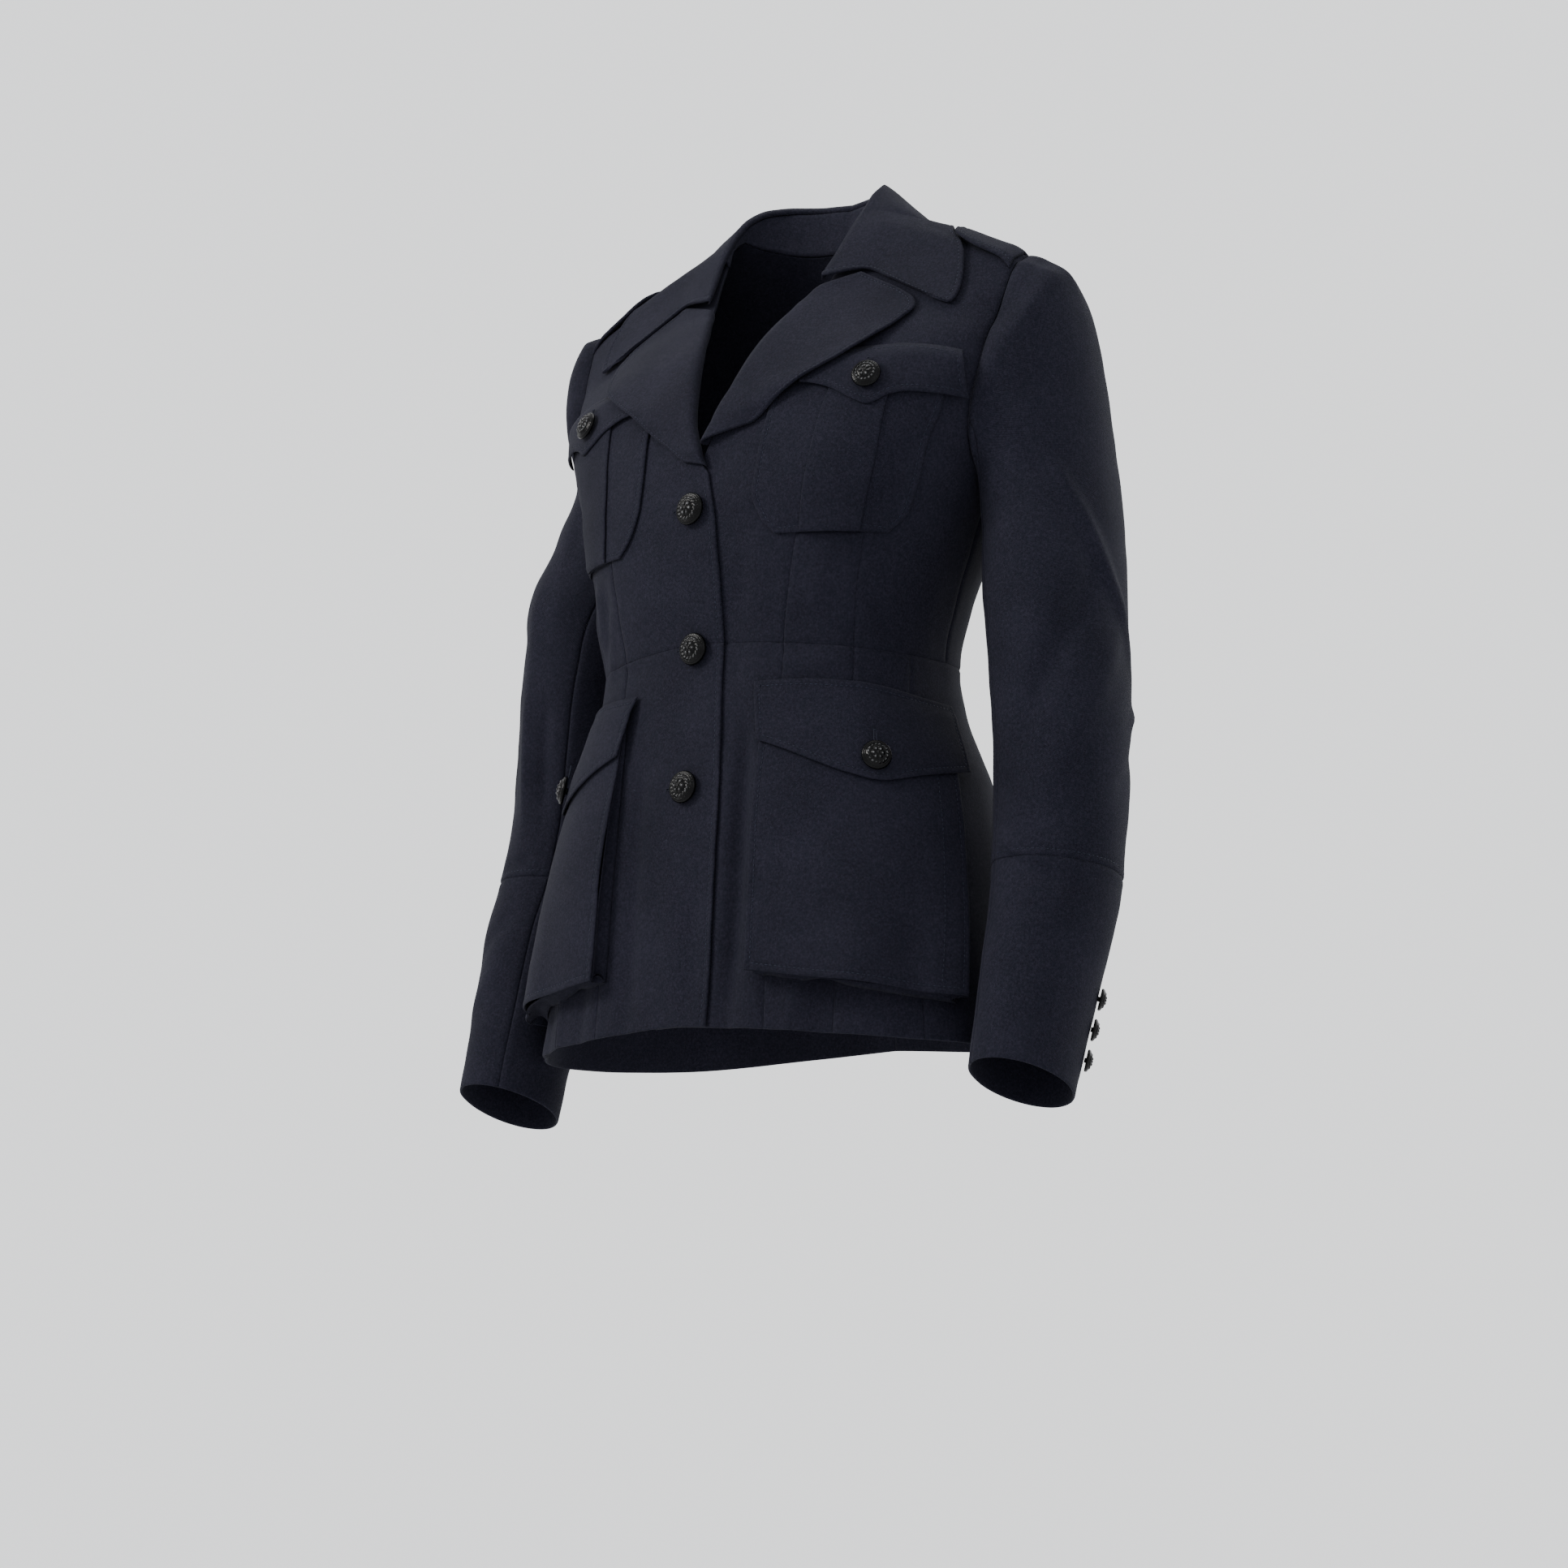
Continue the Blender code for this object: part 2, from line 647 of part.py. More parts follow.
def add_lapel(name, side, rows):
    faces = ([], [])
    for row in rows:
        start = roll_point(row)
        end = np.array([float(LAPEL("edge_x", row)), float(LAPEL("edge_z", row))])
        ends = on_front(np.array([start[0], end[0]]), np.array([start[1], end[1]]), np.zeros(2), 1)
        width = float(np.linalg.norm(ends[1] - ends[0]))
        path = lapel_path(width, float(LAPEL("edge_lift", row)))
        for face, line in zip(faces, crosswise(path, LAPEL_CLOTH)):
            place = start + (end - start) * (line[:, :1] / width)
            face.append(on_front(place[:, 0], place[:, 1], line[:, 1], side))
    add_sheet(name, np.array(faces[0]), np.array(faces[1]))


def lapels():
    add_lapel("lapel_right", -1, LAPEL_ROWS)
    add_lapel("lapel_left", 1, (LEFT_LAPEL_START, *(row for row in LAPEL_ROWS if row > LEFT_LAPEL_START)))


# The collar, from the centre back to its front end: the top of its roll, the edge of its leaf, the
# share of the neck seam under it, and how far its leaf's middle rises towards the notch
COLLAR = Table(
    "place roll_x roll_y roll_z edge_x edge_y edge_z neck bend",
    (0, 0, 60, 28, 0, 86, -36, 0.0, 0),
    (1, 20, 57, 29, 33, 84, -36, 0.14, 0),
    (2, 39, 46, 29, 68, 74, -35, 0.28, 0),
    (3, 53, 29, 26, 98, 53, -34, 0.38, 0),
    (4, 60, 11, 16, 119, 28, -34, 0.45, 0),
    (5, 62, -3, 2, 137, 5, -38, 0.55, 0),
    (6, 61, -17, -16, 156, -15, -53, 0.68, 2),
    (7, 58, -31, -38, 164, -30, -87, 0.84, 5),
    (7.5, 56, -38, -49, 160, -32, -98, 0.92, 8),
    (8, 54, -45, -59, 146, -32, -91, 1.0, 10),
)
COLLAR_PLACES = (0, 0.8, 1.6, 2.4, 3.2, 4, 4.7, 5.4, 6.2, 7, 7.5, 8)
STAND_END = 6.2
COLLAR_CURL = ((-1.7, -4.0), (-1.8, -1.6), (0.0, 0.2), (2.0, -1.0))
LEAF_SHARES = (0.14, 0.32, 0.52, 0.76, 1.0)
NOTCH_SHARE = 0.32
LEAF_BULGE = 3.0
LEAF_LIFT = 3.2
LEAF_CLEAR = 2.0


def shoulder_height(x, y):
    """The height of the shoulder's cloth over a place, by interpolation along the levels."""
    levels = np.linspace(-150, SHOULDER, 120)
    heights = np.empty(x.shape)
    for place in np.ndindex(x.shape):
        across = abs(float(x[place]))
        front = body_point(levels, turn_at(levels, across))
        back = body_point(levels, 180 - turn_at(levels, across, "back_square"))
        front = front[np.argmin(front[:, 1]):]
        back = back[np.argmax(back[:, 1]):]
        line = np.concatenate([front, back[::-1]])
        heights[place] = np.interp(y[place], line[:, 1], line[:, 2])
    return heights


def neck_seam():
    """The neck seam from the centre back to the gorge: points, normals, the way into the neck, and shares."""
    back_levels = np.array([-12, -7, -1, 4, 12], float)
    front_levels = np.array([17, 12, 4, -12, -29, -60], float)
    back = body_point(back_levels, 180 - turn_at(back_levels, BACK_NECK("x", back_levels), "back_square"))
    front = body_point(front_levels, turn_at(front_levels, ROLL_LINE("x", front_levels)))
    points = np.concatenate([back, front])
    run = unit(np.gradient(points, axis=0))
    normal = np.concatenate([
        body_normal(back_levels, 180 - turn_at(back_levels, BACK_NECK("x", back_levels), "back_square")),
        body_normal(front_levels, turn_at(front_levels, ROLL_LINE("x", front_levels))),
    ])
    inward = unit(np.cross(run, normal))
    middle = np.array([0, 10, -10.0])
    inward = inward * np.sign(np.sum(inward * (middle - points), axis=1, keepdims=True))
    reach = np.concatenate([[0], np.cumsum(np.linalg.norm(np.diff(points, axis=0), axis=1))])
    return points, normal, inward, reach / reach[-1]


def collar():
    seam, seam_normal, seam_in, seam_share = neck_seam()
    foot_line = seam + seam_in * (LAPEL_CLOTH / 2 + SEAM_GAP) - seam_normal * BODY_CLOTH / 2
    up = np.array([0, 0, 1.0])
    half = LAPEL_CLOTH / 2
    leaf, stand = [], []
    for place in COLLAR_PLACES:
        roll = np.array([float(COLLAR(f"roll_{axis}", place)) for axis in "xyz"])
        edge = np.array([float(COLLAR(f"edge_{axis}", place)) for axis in "xyz"])
        out = edge - roll
        level_out = unit(out * np.array([1, 1, 0]))
        line = [roll + level_out * far + up * high for far, high in COLLAR_CURL]
        across = unit(np.cross(np.cross(out, up), out))
        bend = float(COLLAR("bend", place))
        laid = smooth_step(4, 6, place)
        for share in LEAF_SHARES:
            tent = min(share / NOTCH_SHARE, (1 - share) / (1 - NOTCH_SHARE))
            point = roll + level_out * 2 * (1 - share) + out * share + up * bend * tent
            point = point + across * LEAF_BULGE * math.sin(math.pi * min(share, 1)) * (1 - laid)
            on_it = on_front(np.array(point[0]), np.array(point[2]), np.array(LEAF_LIFT), 1)
            weight = laid * smooth_step(0, 0.45, share)
            line.append(point + (on_it - point) * weight)
        leaf.append(np.array(line))
        if place <= STAND_END:
            foot = np.array([np.interp(COLLAR("neck", place), seam_share, foot_line[:, axis])
                             for axis in range(3)])
            top = roll - level_out * 1.75 + up * -4.6
            stand.append(np.array([top + (foot - top) * share for share in (0, 0.5, 1)]))
    leaf, stand = np.array(leaf), np.array(stand)
    free = leaf[:, len(COLLAR_CURL):]
    floor = shoulder_height(free[..., 0], free[..., 1]) + LEAF_CLEAR + half
    free[..., 2] = np.maximum(free[..., 2], floor)
    other = np.array([-1, 1, 1])
    leaf = np.concatenate([leaf[:0:-1] * other, leaf])
    stand = np.concatenate([stand[:0:-1] * other, stand])
    normal = grid_normals(leaf, leaf - np.array([0, 10, -60.0]))
    add_sheet("collar_leaf", leaf + normal * half, leaf - normal * half)
    normal = grid_normals(stand, stand - np.array([0, 10, 0.0]))
    add_sheet("collar_stand", stand + normal * half, stand - normal * half)


# The chest pocket, by x at each height
CHEST_POCKET = Table(
    "z inner pleat_inner pleat_outer outer",
    (-148, 57, 101, 142, 171),
    (-174, 54.5, 97, 138, 167),
    (-205, 52, 92, 133, 156),
    (-232, 51, 89, 128, 149),
    (-251, 58, 87.5, 124, 143),
    (-264, 70, 87, 121.5, 134),
)
CHEST_FLAP = Table(
    "x top bottom",
    (76, -132, -157),
    (86, -131, -159),
    (102, -130, -164.5),
    (115, -130, -172),
    (127, -130, -177),
    (139, -130, -170.5),
    (150, -131, -168),
    (164, -133, -168.5),
    (177, -136, -169.5),
)
POCKET_MOUTH = -148
POCKET_LIFT = LAY_GAP + POCKET_CLOTH + 0.4
PLEAT_LIFT = POCKET_LIFT + LAY_GAP + POCKET_CLOTH
FLAP_LIFT = PLEAT_LIFT + LAY_GAP + POCKET_CLOTH


def add_patch(name, x, z, lift, side, thickness=POCKET_CLOTH):
    """A sheet over the front, from the x and height of its points and the lift of its outer face."""
    lift = np.broadcast_to(lift, x.shape)
    add_sheet(name, on_front(x, z, lift, side), on_front(x, z, lift - thickness, side))


def chest_pockets():
    heights = np.array([-148, -160, -174, -190, -205, -219, -232, -242, -251, -258, -264.0])
    stops = [CHEST_POCKET(name, heights) for name in ("inner", "pleat_inner", "pleat_outer", "outer")]
    x = np.array([columns_between(np.array(row), (2, 3, 3)) for row in zip(*stops)])
    z = np.repeat(heights[:, None], x.shape[1], axis=1)
    for side, name in ((1, "left"), (-1, "right")):
        add_patch(f"chest_pocket_{name}", x, z, POCKET_LIFT, side)
        add_patch(f"chest_pleat_{name}", x[:, 2:6], z[:, 2:6], PLEAT_LIFT, side)
        flap_x = CHEST_FLAP.at
        top, bottom = CHEST_FLAP("top", flap_x), CHEST_FLAP("bottom", flap_x)
        over = np.full_like(top, POCKET_MOUTH + 3)
        flap_z = np.array([top, over, (over + bottom) / 2, bottom])
        flap_lift = np.array([POCKET_LIFT, FLAP_LIFT, FLAP_LIFT, FLAP_LIFT])[:, None]
        add_patch(f"chest_flap_{name}", np.repeat(flap_x[None], 4, axis=0), flap_z, flap_lift, side)


# The bellows pocket, by the share of the way down its face: the distance round the body of its two
# sides, and how far its face stands off the skirt
LOW_POCKET = Table(
    "down inner outer lift_inner lift_outer",
    (0, 63, 200, 3.6, 4.5),
    (0.2, 62, 203, 7, 9),
    (0.45, 63, 206, 12, 14),
    (0.7, 65, 207, 14, 18),
    (1, 66, 208, 15, 20),
)
LOW_POCKET_MOUTH = (-374, -8)
LOW_POCKET_FOOT = (-565, -13)
POCKET_SHARES = np.linspace(0, 1, 8)
POCKET_DOWN = np.array([0, 0.1, 0.22, 0.36, 0.52, 0.68, 0.84, 1])
# Its flap, by the share of the way across it: the distance round the body at its top and bottom, and
# the levels of both
LOW_FLAP = Table(
    "across girth_top girth_bottom top bottom",
    (0, 53, 61, -362, -406),
    (0.15, 78, 82, -360, -413),
    (0.3, 101, 104, -359, -422),
    (0.45, 124, 126, -359, -430),
    (0.6, 147, 147, -361, -434.5),
    (0.75, 170, 172, -364, -429),
    (0.88, 191, 193, -366, -425),
    (1, 209, 213, -367, -422),
)
FLAP_CLEAR = 1.0
GUSSET_PULL = 5.0
GUSSET_FOOT = 1.2


def mouth_level(share):
    return LOW_POCKET_MOUTH[0] + LOW_POCKET_MOUTH[1] * share ** 1.5


def foot_level(share):
    return LOW_POCKET_FOOT[0] + LOW_POCKET_FOOT[1] * share


def pocket_place(down, share):
    """The distance round the body, the level and the face's lift at a place of the pocket."""
    down, share = np.broadcast_arrays(np.asarray(down, float), np.asarray(share, float))
    inner, outer = LOW_POCKET("inner", down), LOW_POCKET("outer", down)
    low, high = LOW_POCKET("lift_inner", down), LOW_POCKET("lift_outer", down)
    mouth, foot = mouth_level(share), foot_level(share)
    return inner + (outer - inner) * share, mouth + (foot - mouth) * down, low + (high - low) * share


def face_lift(girth, level):
    """How far the pocket's face stands off at a distance round the body and a level."""
    share = np.clip((girth - 60) / 145, 0, 1)
    down = np.clip((mouth_level(share) - level) / (mouth_level(share) - foot_level(share)), 0, 1)
    return pocket_place(down, share)[2]


def at_girth(girth, level, lift, side):
    """Points above the hip, from their distance round the body and level."""
    return lifted(level, girth_turn(level, girth), lift, side)


def low_pockets():
    girth, level, lift = pocket_place(POCKET_DOWN[:, None], POCKET_SHARES[None])
    route_down = np.concatenate([POCKET_DOWN, np.ones(6), POCKET_DOWN[::-1]])
    route_share = np.concatenate([np.zeros(8), POCKET_SHARES[1:-1], np.ones(8)])
    edge, edge_level, edge_lift = pocket_place(route_down, route_share)
    inward = np.where(route_share == 0, 1, np.where(route_share == 1, -1, 0))
    at_foot = route_down == 1
    for side, name in ((1, "left"), (-1, "right")):
        add_sheet(f"low_pocket_{name}", at_girth(girth, level, lift, side),
                  at_girth(girth, level, lift - POCKET_CLOTH, side))
        outside, inside = [], []
        for share_up in (0.0, 0.5, 1.0):
            top = edge_lift - POCKET_CLOTH - LAY_GAP
            rise = GUSSET_FOOT + (top - GUSSET_FOOT) * share_up
            pull = GUSSET_PULL * (share_up == 0.5) * smooth_step(0.1, 0.35, route_down)
            for line, inset in ((outside, pull), (inside, pull + POCKET_CLOTH)):
                line.append(at_girth(edge + inward * inset, edge_level + at_foot * inset, rise, side))
        add_sheet(f"low_gusset_{name}", np.array(outside), np.array(inside))
        flap_across = LOW_FLAP.at
        top, bottom = LOW_FLAP("top", flap_across), LOW_FLAP("bottom", flap_across)
        girth_top, girth_bottom = LOW_FLAP("girth_top", flap_across), LOW_FLAP("girth_bottom", flap_across)
        mouth = mouth_level(np.clip((girth_top - 60) / 145, 0, 1)) + 3
        levels = [top, mouth, *(mouth + (bottom - mouth) * share for share in (0.25, 0.5, 0.75, 1))]
        flap_level = np.array(levels)
        share_down = (flap_level - top) / (bottom - top)
        flap_girth = girth_top + (girth_bottom - girth_top) * share_down
        flap_lift = face_lift(flap_girth, flap_level) + LAY_GAP + POCKET_CLOTH + FLAP_CLEAR
        flap_lift[0] = 1.4 + LAY_GAP + POCKET_CLOTH
        add_sheet(f"low_flap_{name}", at_girth(flap_girth, flap_level, flap_lift, side),
                  at_girth(flap_girth, flap_level, flap_lift - POCKET_CLOTH, side))


# The shoulder strap, by x: how far the middle of its cloth stands off the shoulder, its half-width, and
# the share of the shoulder's own curve that it follows
STRAP = Table(
    "x lift half_width bend",
    (139, 5.4, 5, 0.6),
    (141, 5.4, 10, 0.6),
    (145, 5.3, 15, 0.6),
    (153, 4.9, 18, 0.65),
    (165, 4.1, 19, 0.75),
    (180, 3.6, 18.5, 0.85),
    (193.5, 4.0, 18, 0.9),
)
STRAP_Y = 5.0
STRAP_SHARES = np.linspace(-1, 1, 7)


def strap_points(x):
    """Points across the strap at each x, on the shoulder."""
    x = np.repeat(np.asarray(x, float)[:, None], len(STRAP_SHARES), axis=1)
    y = STRAP_Y + STRAP("half_width", x) * STRAP_SHARES
    top = shoulder_height(x, np.full_like(y, STRAP_Y))
    z = top + STRAP("lift", x) + STRAP("bend", x) * (shoulder_height(x, y) - top)
    return np.stack([x, y, z], -1)


def shoulder_straps():
    points = strap_points(STRAP.at)
    normal = grid_normals(points, np.broadcast_to(np.array([0, 0, 1.0]), points.shape))
    for side, name in ((1, "left"), (-1, "right")):
        mirror = np.array([side, 1, 1])
        add_sheet(f"shoulder_strap_{name}", (points + normal * STRAP_CLOTH / 2) * mirror,
                  (points - normal * STRAP_CLOTH / 2) * mirror)


# A button, turned about its shank: radius and height, for a button of radius 1
BUTTON_PROFILE = ((0.22, -0.16), (0.22, 0.0), (0.80, 0.0), (1.0, 0.10), (0.97, 0.22), (0.80, 0.27),
                  (0.48, 0.47))
BUTTON_CROWN = 0.56
BUTTON_SIDES = 12
FRONT_BUTTON = 11.6
POCKET_BUTTON = 10.6
CUFF_BUTTON = 7.6


def add_button(name, seat, outward, radius, sways=True):
    """A domed button whose shank stands on the seat."""
    outward = unit(np.asarray(outward, float))
    first = unit(np.cross(outward, np.array([0.0, 0.0, 1.0]) if abs(outward[2]) < 0.9 else
                          np.array([0.0, 1.0, 0.0])))
    second = np.cross(outward, first)
    base = np.asarray(seat, float) + outward * (LAY_GAP - BUTTON_PROFILE[0][1] * radius)
    points = [base + outward * BUTTON_PROFILE[0][1] * radius]
    for far, high in BUTTON_PROFILE:
        for step in range(BUTTON_SIDES):
            angle = 2 * math.pi * step / BUTTON_SIDES
            spoke = first * math.cos(angle) + second * math.sin(angle)
            points.append(base + (spoke * far + outward * high) * radius)
    points.append(base + outward * BUTTON_CROWN * radius)
    faces = []
    for step in range(BUTTON_SIDES):
        after = (step + 1) % BUTTON_SIDES
        faces.append([0, 1 + after, 1 + step])
        for ring in range(len(BUTTON_PROFILE) - 1):
            low, high = 1 + ring * BUTTON_SIDES, 1 + (ring + 1) * BUTTON_SIDES
            faces.append([low + step, low + after, high + after, high + step])
        top = 1 + (len(BUTTON_PROFILE) - 1) * BUTTON_SIDES
        faces.append([top + step, top + after, len(points) - 1])
    add_object(name, points, faces, BUTTON_BLACK, 0.22, sways)


FRONT_BUTTON_LEVELS = (-239, -337, -436)
CHEST_BUTTON = (124.5, -157)
LOW_BUTTON = (141, -418)
CUFF_BUTTON_RINGS = (13.2, 13.76, 14.32)
CUFF_BUTTON_ANGLE = 321


def buttons():
    for number, level in enumerate(FRONT_BUTTON_LEVELS, 1):
        add_button(f"button_front_{number}", body_point(level, 0.0), body_normal(level, 0.0), FRONT_BUTTON)
    hole, hole_angle = armhole_ring()
    for side, name in ((1, "left"), (-1, "right")):
        mirror = np.array([side, 1, 1])
        x, z = CHEST_BUTTON
        level = level_at(x, z)
        turn = turn_at(level, x)
        add_button(f"button_chest_{name}", lifted(level, turn, FLAP_LIFT, side),
                   body_normal(level, turn) * mirror, POCKET_BUTTON)
        girth, z = LOW_BUTTON
        turn = girth_turn(z, girth)
        lift = face_lift(girth, z) + LAY_GAP + POCKET_CLOTH + FLAP_CLEAR
        add_button(f"button_low_{name}", lifted(float(z), turn, lift, side),
                   body_normal(z, turn) * mirror, POCKET_BUTTON)
        for number, ring in enumerate(CUFF_BUTTON_RINGS, 1):
            angles = np.array([CUFF_BUTTON_ANGLE, CUFF_BUTTON_ANGLE - 4.0])
            seat, before = sleeve_point(ring, angles, hole, hole_angle, side)
            above = sleeve_point(ring - 0.3, angles, hole, hole_angle, side)[0]
            outward = unit(np.cross(seat - before, above - seat))
            outward = outward * np.sign(outward[0])
            add_button(f"button_cuff_{name}_{number}", seat * mirror, outward * mirror, CUFF_BUTTON, False)


def main():
    for existing in list(bpy.data.objects):
        bpy.data.objects.remove(existing, do_unlink=True)
    upper_fronts()
    lower_fronts()
    backs()
    sleeves()
    lapels()
    collar()
    chest_pockets()
    low_pockets()
    shoulder_straps()
    buttons()


main()
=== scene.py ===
"""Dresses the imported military-style jacket: fine cloth over its solids, with stitching and buttons.

Lengths in the shape code are millimetres, and MM turns them into Blender's metres. The origin is the
middle of the neck's base, +X is the wearer's left, +Y the back and +Z up. A place on the cloth is
given by its level, which is its height at the centre front, and by its x or by its turn, the angle
round the body from the centre front, 90 degrees at the side and 180 at the centre back.
"""
import math

import bmesh
import bpy
import numpy as np
from mathutils import Matrix, Vector


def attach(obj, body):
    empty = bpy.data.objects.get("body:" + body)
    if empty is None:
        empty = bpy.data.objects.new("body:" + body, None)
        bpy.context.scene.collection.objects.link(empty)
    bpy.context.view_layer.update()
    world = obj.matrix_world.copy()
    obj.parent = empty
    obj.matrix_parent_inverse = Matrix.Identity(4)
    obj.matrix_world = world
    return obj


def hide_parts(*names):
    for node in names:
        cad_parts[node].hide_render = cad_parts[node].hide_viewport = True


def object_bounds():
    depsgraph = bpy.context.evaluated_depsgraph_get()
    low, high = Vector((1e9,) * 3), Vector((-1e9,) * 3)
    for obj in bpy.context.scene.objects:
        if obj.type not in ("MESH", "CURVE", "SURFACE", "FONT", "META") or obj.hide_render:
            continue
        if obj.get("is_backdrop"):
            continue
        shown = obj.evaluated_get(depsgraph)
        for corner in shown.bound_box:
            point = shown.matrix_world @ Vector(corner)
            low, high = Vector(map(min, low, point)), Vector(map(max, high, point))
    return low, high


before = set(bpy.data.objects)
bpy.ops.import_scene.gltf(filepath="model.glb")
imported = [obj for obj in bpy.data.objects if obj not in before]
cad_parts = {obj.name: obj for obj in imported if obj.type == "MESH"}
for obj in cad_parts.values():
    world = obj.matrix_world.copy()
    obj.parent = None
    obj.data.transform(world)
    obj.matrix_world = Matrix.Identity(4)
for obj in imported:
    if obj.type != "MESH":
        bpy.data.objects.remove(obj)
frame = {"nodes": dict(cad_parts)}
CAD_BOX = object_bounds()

bl_info = {
    "name": "Military-style jacket",
    "version": (1, 0, 0),
    "blender": (4, 5, 0),
    "location": "3D View > Sidebar > Jacket",
    "description": "Builds the fine cloth, stitching and buttons of a military-style jacket",
    "category": "Object",
}

MM = 0.001

# Cloth walls, the gap at a seam, and the gap under a piece that is laid on another
BODY_CLOTH = 2.0
SLEEVE_CLOTH = 1.8
POCKET_CLOTH = 1.6
LAPEL_CLOTH = 2.2
STRAP_CLOTH = 2.4
SEAM_GAP = 0.36
LAY_GAP = 0.4

# Rings round the body: how their sides drop, the step for a normal, and where girth is measured
DROP_POWER = 1.2
NORMAL_STEP = 0.5
GIRTH_TURNS = np.linspace(0, 130, 66)

# The two sides, left and right as worn
SIDES = ((1, "left"), (-1, "right"))

# Heights
WAIST = -333
HEM = -602
BREAK = -213
POCKET_SEAM_TOP = -262
UNDERARM = -213
SHOULDER = 17

# Spacing of the fine grids, and the distance of the edge stitching from an edge
FINE = 3.6
EDGE_STITCH = 4.6


class Table:
    """A table with named columns, read on a smooth curve through its rows."""

    def __init__(self, names, *rows):
        data = np.array(sorted(rows), float)
        self.at = data[:, 0]
        self.columns = dict(zip(names.split()[1:], data[:, 1:].T))

    def __call__(self, name, at):
        x, y = self.at, self.columns[name]
        step = np.diff(x)
        rise = np.diff(y) / step
        slope = np.concatenate([rise[:1], np.zeros(len(rise) - 1), rise[-1:]])
        before, after = rise[:-1], rise[1:]
        same = before * after > 0
        total = np.where(same, before + after, 1)
        slope[1:-1] = np.where(same, 2 * before * after / total, 0)
        at = np.clip(np.asarray(at, float), x[0], x[-1])
        i = np.clip(np.searchsorted(x, at) - 1, 0, len(x) - 2)
        t = (at - x[i]) / step[i]
        start = y[i] * (1 + 2 * t) * (1 - t) ** 2 + slope[i] * step[i] * t * (1 - t) ** 2
        end = y[i + 1] * t * t * (3 - 2 * t) + slope[i + 1] * step[i] * t * t * (t - 1)
        return start + end


# Rings round the body: a superellipse of these half-widths and depths, whose sides drop below its
# front. The front and back squareness round the two halves of a ring on their own.
BODY = Table(
    "level half_width front back middle square back_square drop shoulder",
    (17, 196, 0, 0, 6, 2.0, 2.0, 75, 0),
    (12, 196, 9, 11, 6, 2.1, 2.1, 74, 5),
    (4, 196, 16, 25, 6, 2.3, 2.3, 71, 11),
    (-12, 196, 22, 44, 5.5, 2.5, 2.5, 66, 14),
    (-29, 196, 30, 56, 5, 2.6, 2.6, 62, 15),
    (-60, 195, 46, 69, 4, 2.8, 2.8, 50, 12),
    (-87, 194, 65, 79, 3, 2.8, 2.8, 36, 8),
    (-115, 192, 84, 87, 2, 2.7, 2.7, 25, 4),
    (-145, 188, 99, 94, 1, 2.6, 2.6, 16, 1),
    (-175, 180, 111, 98, 0, 2.5, 2.5, 9, 0),
    (-213, 166, 119, 99, -1, 2.5, 2.4, 4, 0),
    (-235, 159, 121, 98, -2, 2.5, 2.3, 3, 0),
    (-262, 151, 121, 96, -2, 2.5, 2.25, 3, 0),
    (-295, 141, 116, 90, -3, 2.6, 2.2, 6, 0),
    (-333, 133, 109, 86, -4, 2.7, 2.2, 11, 0),
    (-365, 137, 111, 91, -4, 2.7, 2.2, 10, 0),
    (-420, 155, 117, 104, -4, 2.6, 2.3, 8, 0),
    (-480, 168, 123, 114, -4, 2.5, 2.35, 8, 0),
    (-545, 180, 127, 121, -4, 2.45, 2.4, 10, 0),
    (-602, 192, 131, 127, -4, 2.45, 2.45, 14, 0),
)
# The waist and the hem stand a little to the right of the neck, as worn
SWAY = Table("z x", (-645, -5), (-480, -5), (-333, -6), (-262, -3), (-205, 0), (40, 0))

# Seams of the body, by the x of the front ones and the turn of the others
SEAMS = Table(
    "level front_a front_b front_c side_back back_princess",
    (17, 102, 142, 180, 120, 112),
    (-115, 100, 146, 180, 120, 100),
    (-175, 96, 143, 170, 120, 90),
    (-262, 84, 124, 146, 120, 74),
    (-300, 77, 117, 136, 120, 66),
    (-333, 71.5, 113, 131, 121, 62),
    (-365, 71.5, 114, 134, 122, 62),
    (-480, 73, 118, 153, 123, 69),
    (-602, 75, 122, 172, 124, 80),
)
ARMHOLE = Table(
    "level front back",
    (17, 90, 90),
    (12, 87, 94),
    (4, 84, 97),
    (-12, 80.5, 101),
    (-29, 78, 104),
    (-60, 75, 106),
    (-87, 72.8, 108),
    (-115, 72, 109),
    (-145, 72, 109),
    (-175, 75, 107),
    (-200, 82, 101),
    (-210, 89, 97),
    (-213, 93, 93),
)
SIDE_SEAM_TURN = 93

# The front edges: how far each front reaches past the centre, and the roll line of the lapel above
FRONT_EDGE = Table(
    "level over under",
    (-213, 9, 8),
    (-240, 18, 14),
    (-262, 21.5, 17),
    (-300, 24, 18),
    (-350, 24, 18),
    (-402, 27, 18),
    (-457, 30, 18),
    (-569, 30, 18),
    (-602, 29, 18),
)
ROLL_LINE = Table(
    "level x",
    (-213, -9),
    (-200, 1),
    (-175, 13),
    (-145, 22),
    (-115, 30),
    (-87, 40),
    (-60, 52),
    (-29, 57),
    (-12, 59),
    (4, 61),
    (12, 61.8),
    (17, 62),
)
BACK_NECK = Table("level x", (-12, 0), (-7, 21), (-1, 36), (4, 45), (12, 57), (17, 62))
# Below this level the back has no neck opening
BACK_NECK_LEVEL = -12
# The underlap: how deep, how far past the upper front's edge, and the levels between which it ends
UNDERLAP_DEPTH = 2.8
UNDERLAP_REACH = 32
UNDERLAP_FADE = (-203, -180)

# Soft flutes of the skirt below the hip, deepest at the hem
FLUTES = Table("number turn width depth", (0, 58, 7, -3), (1, 83, 8, 3), (2, 108, 9, -4), (3, 132, 10, 5),
               (4, 158, 10, -4))
FLUTE_TOP = -470

UPPER_LEVELS = (-333, -295, -262, -235, -213, -200, -175, -145, -115, -87, -60, -29, -12, 4, 12, 17)


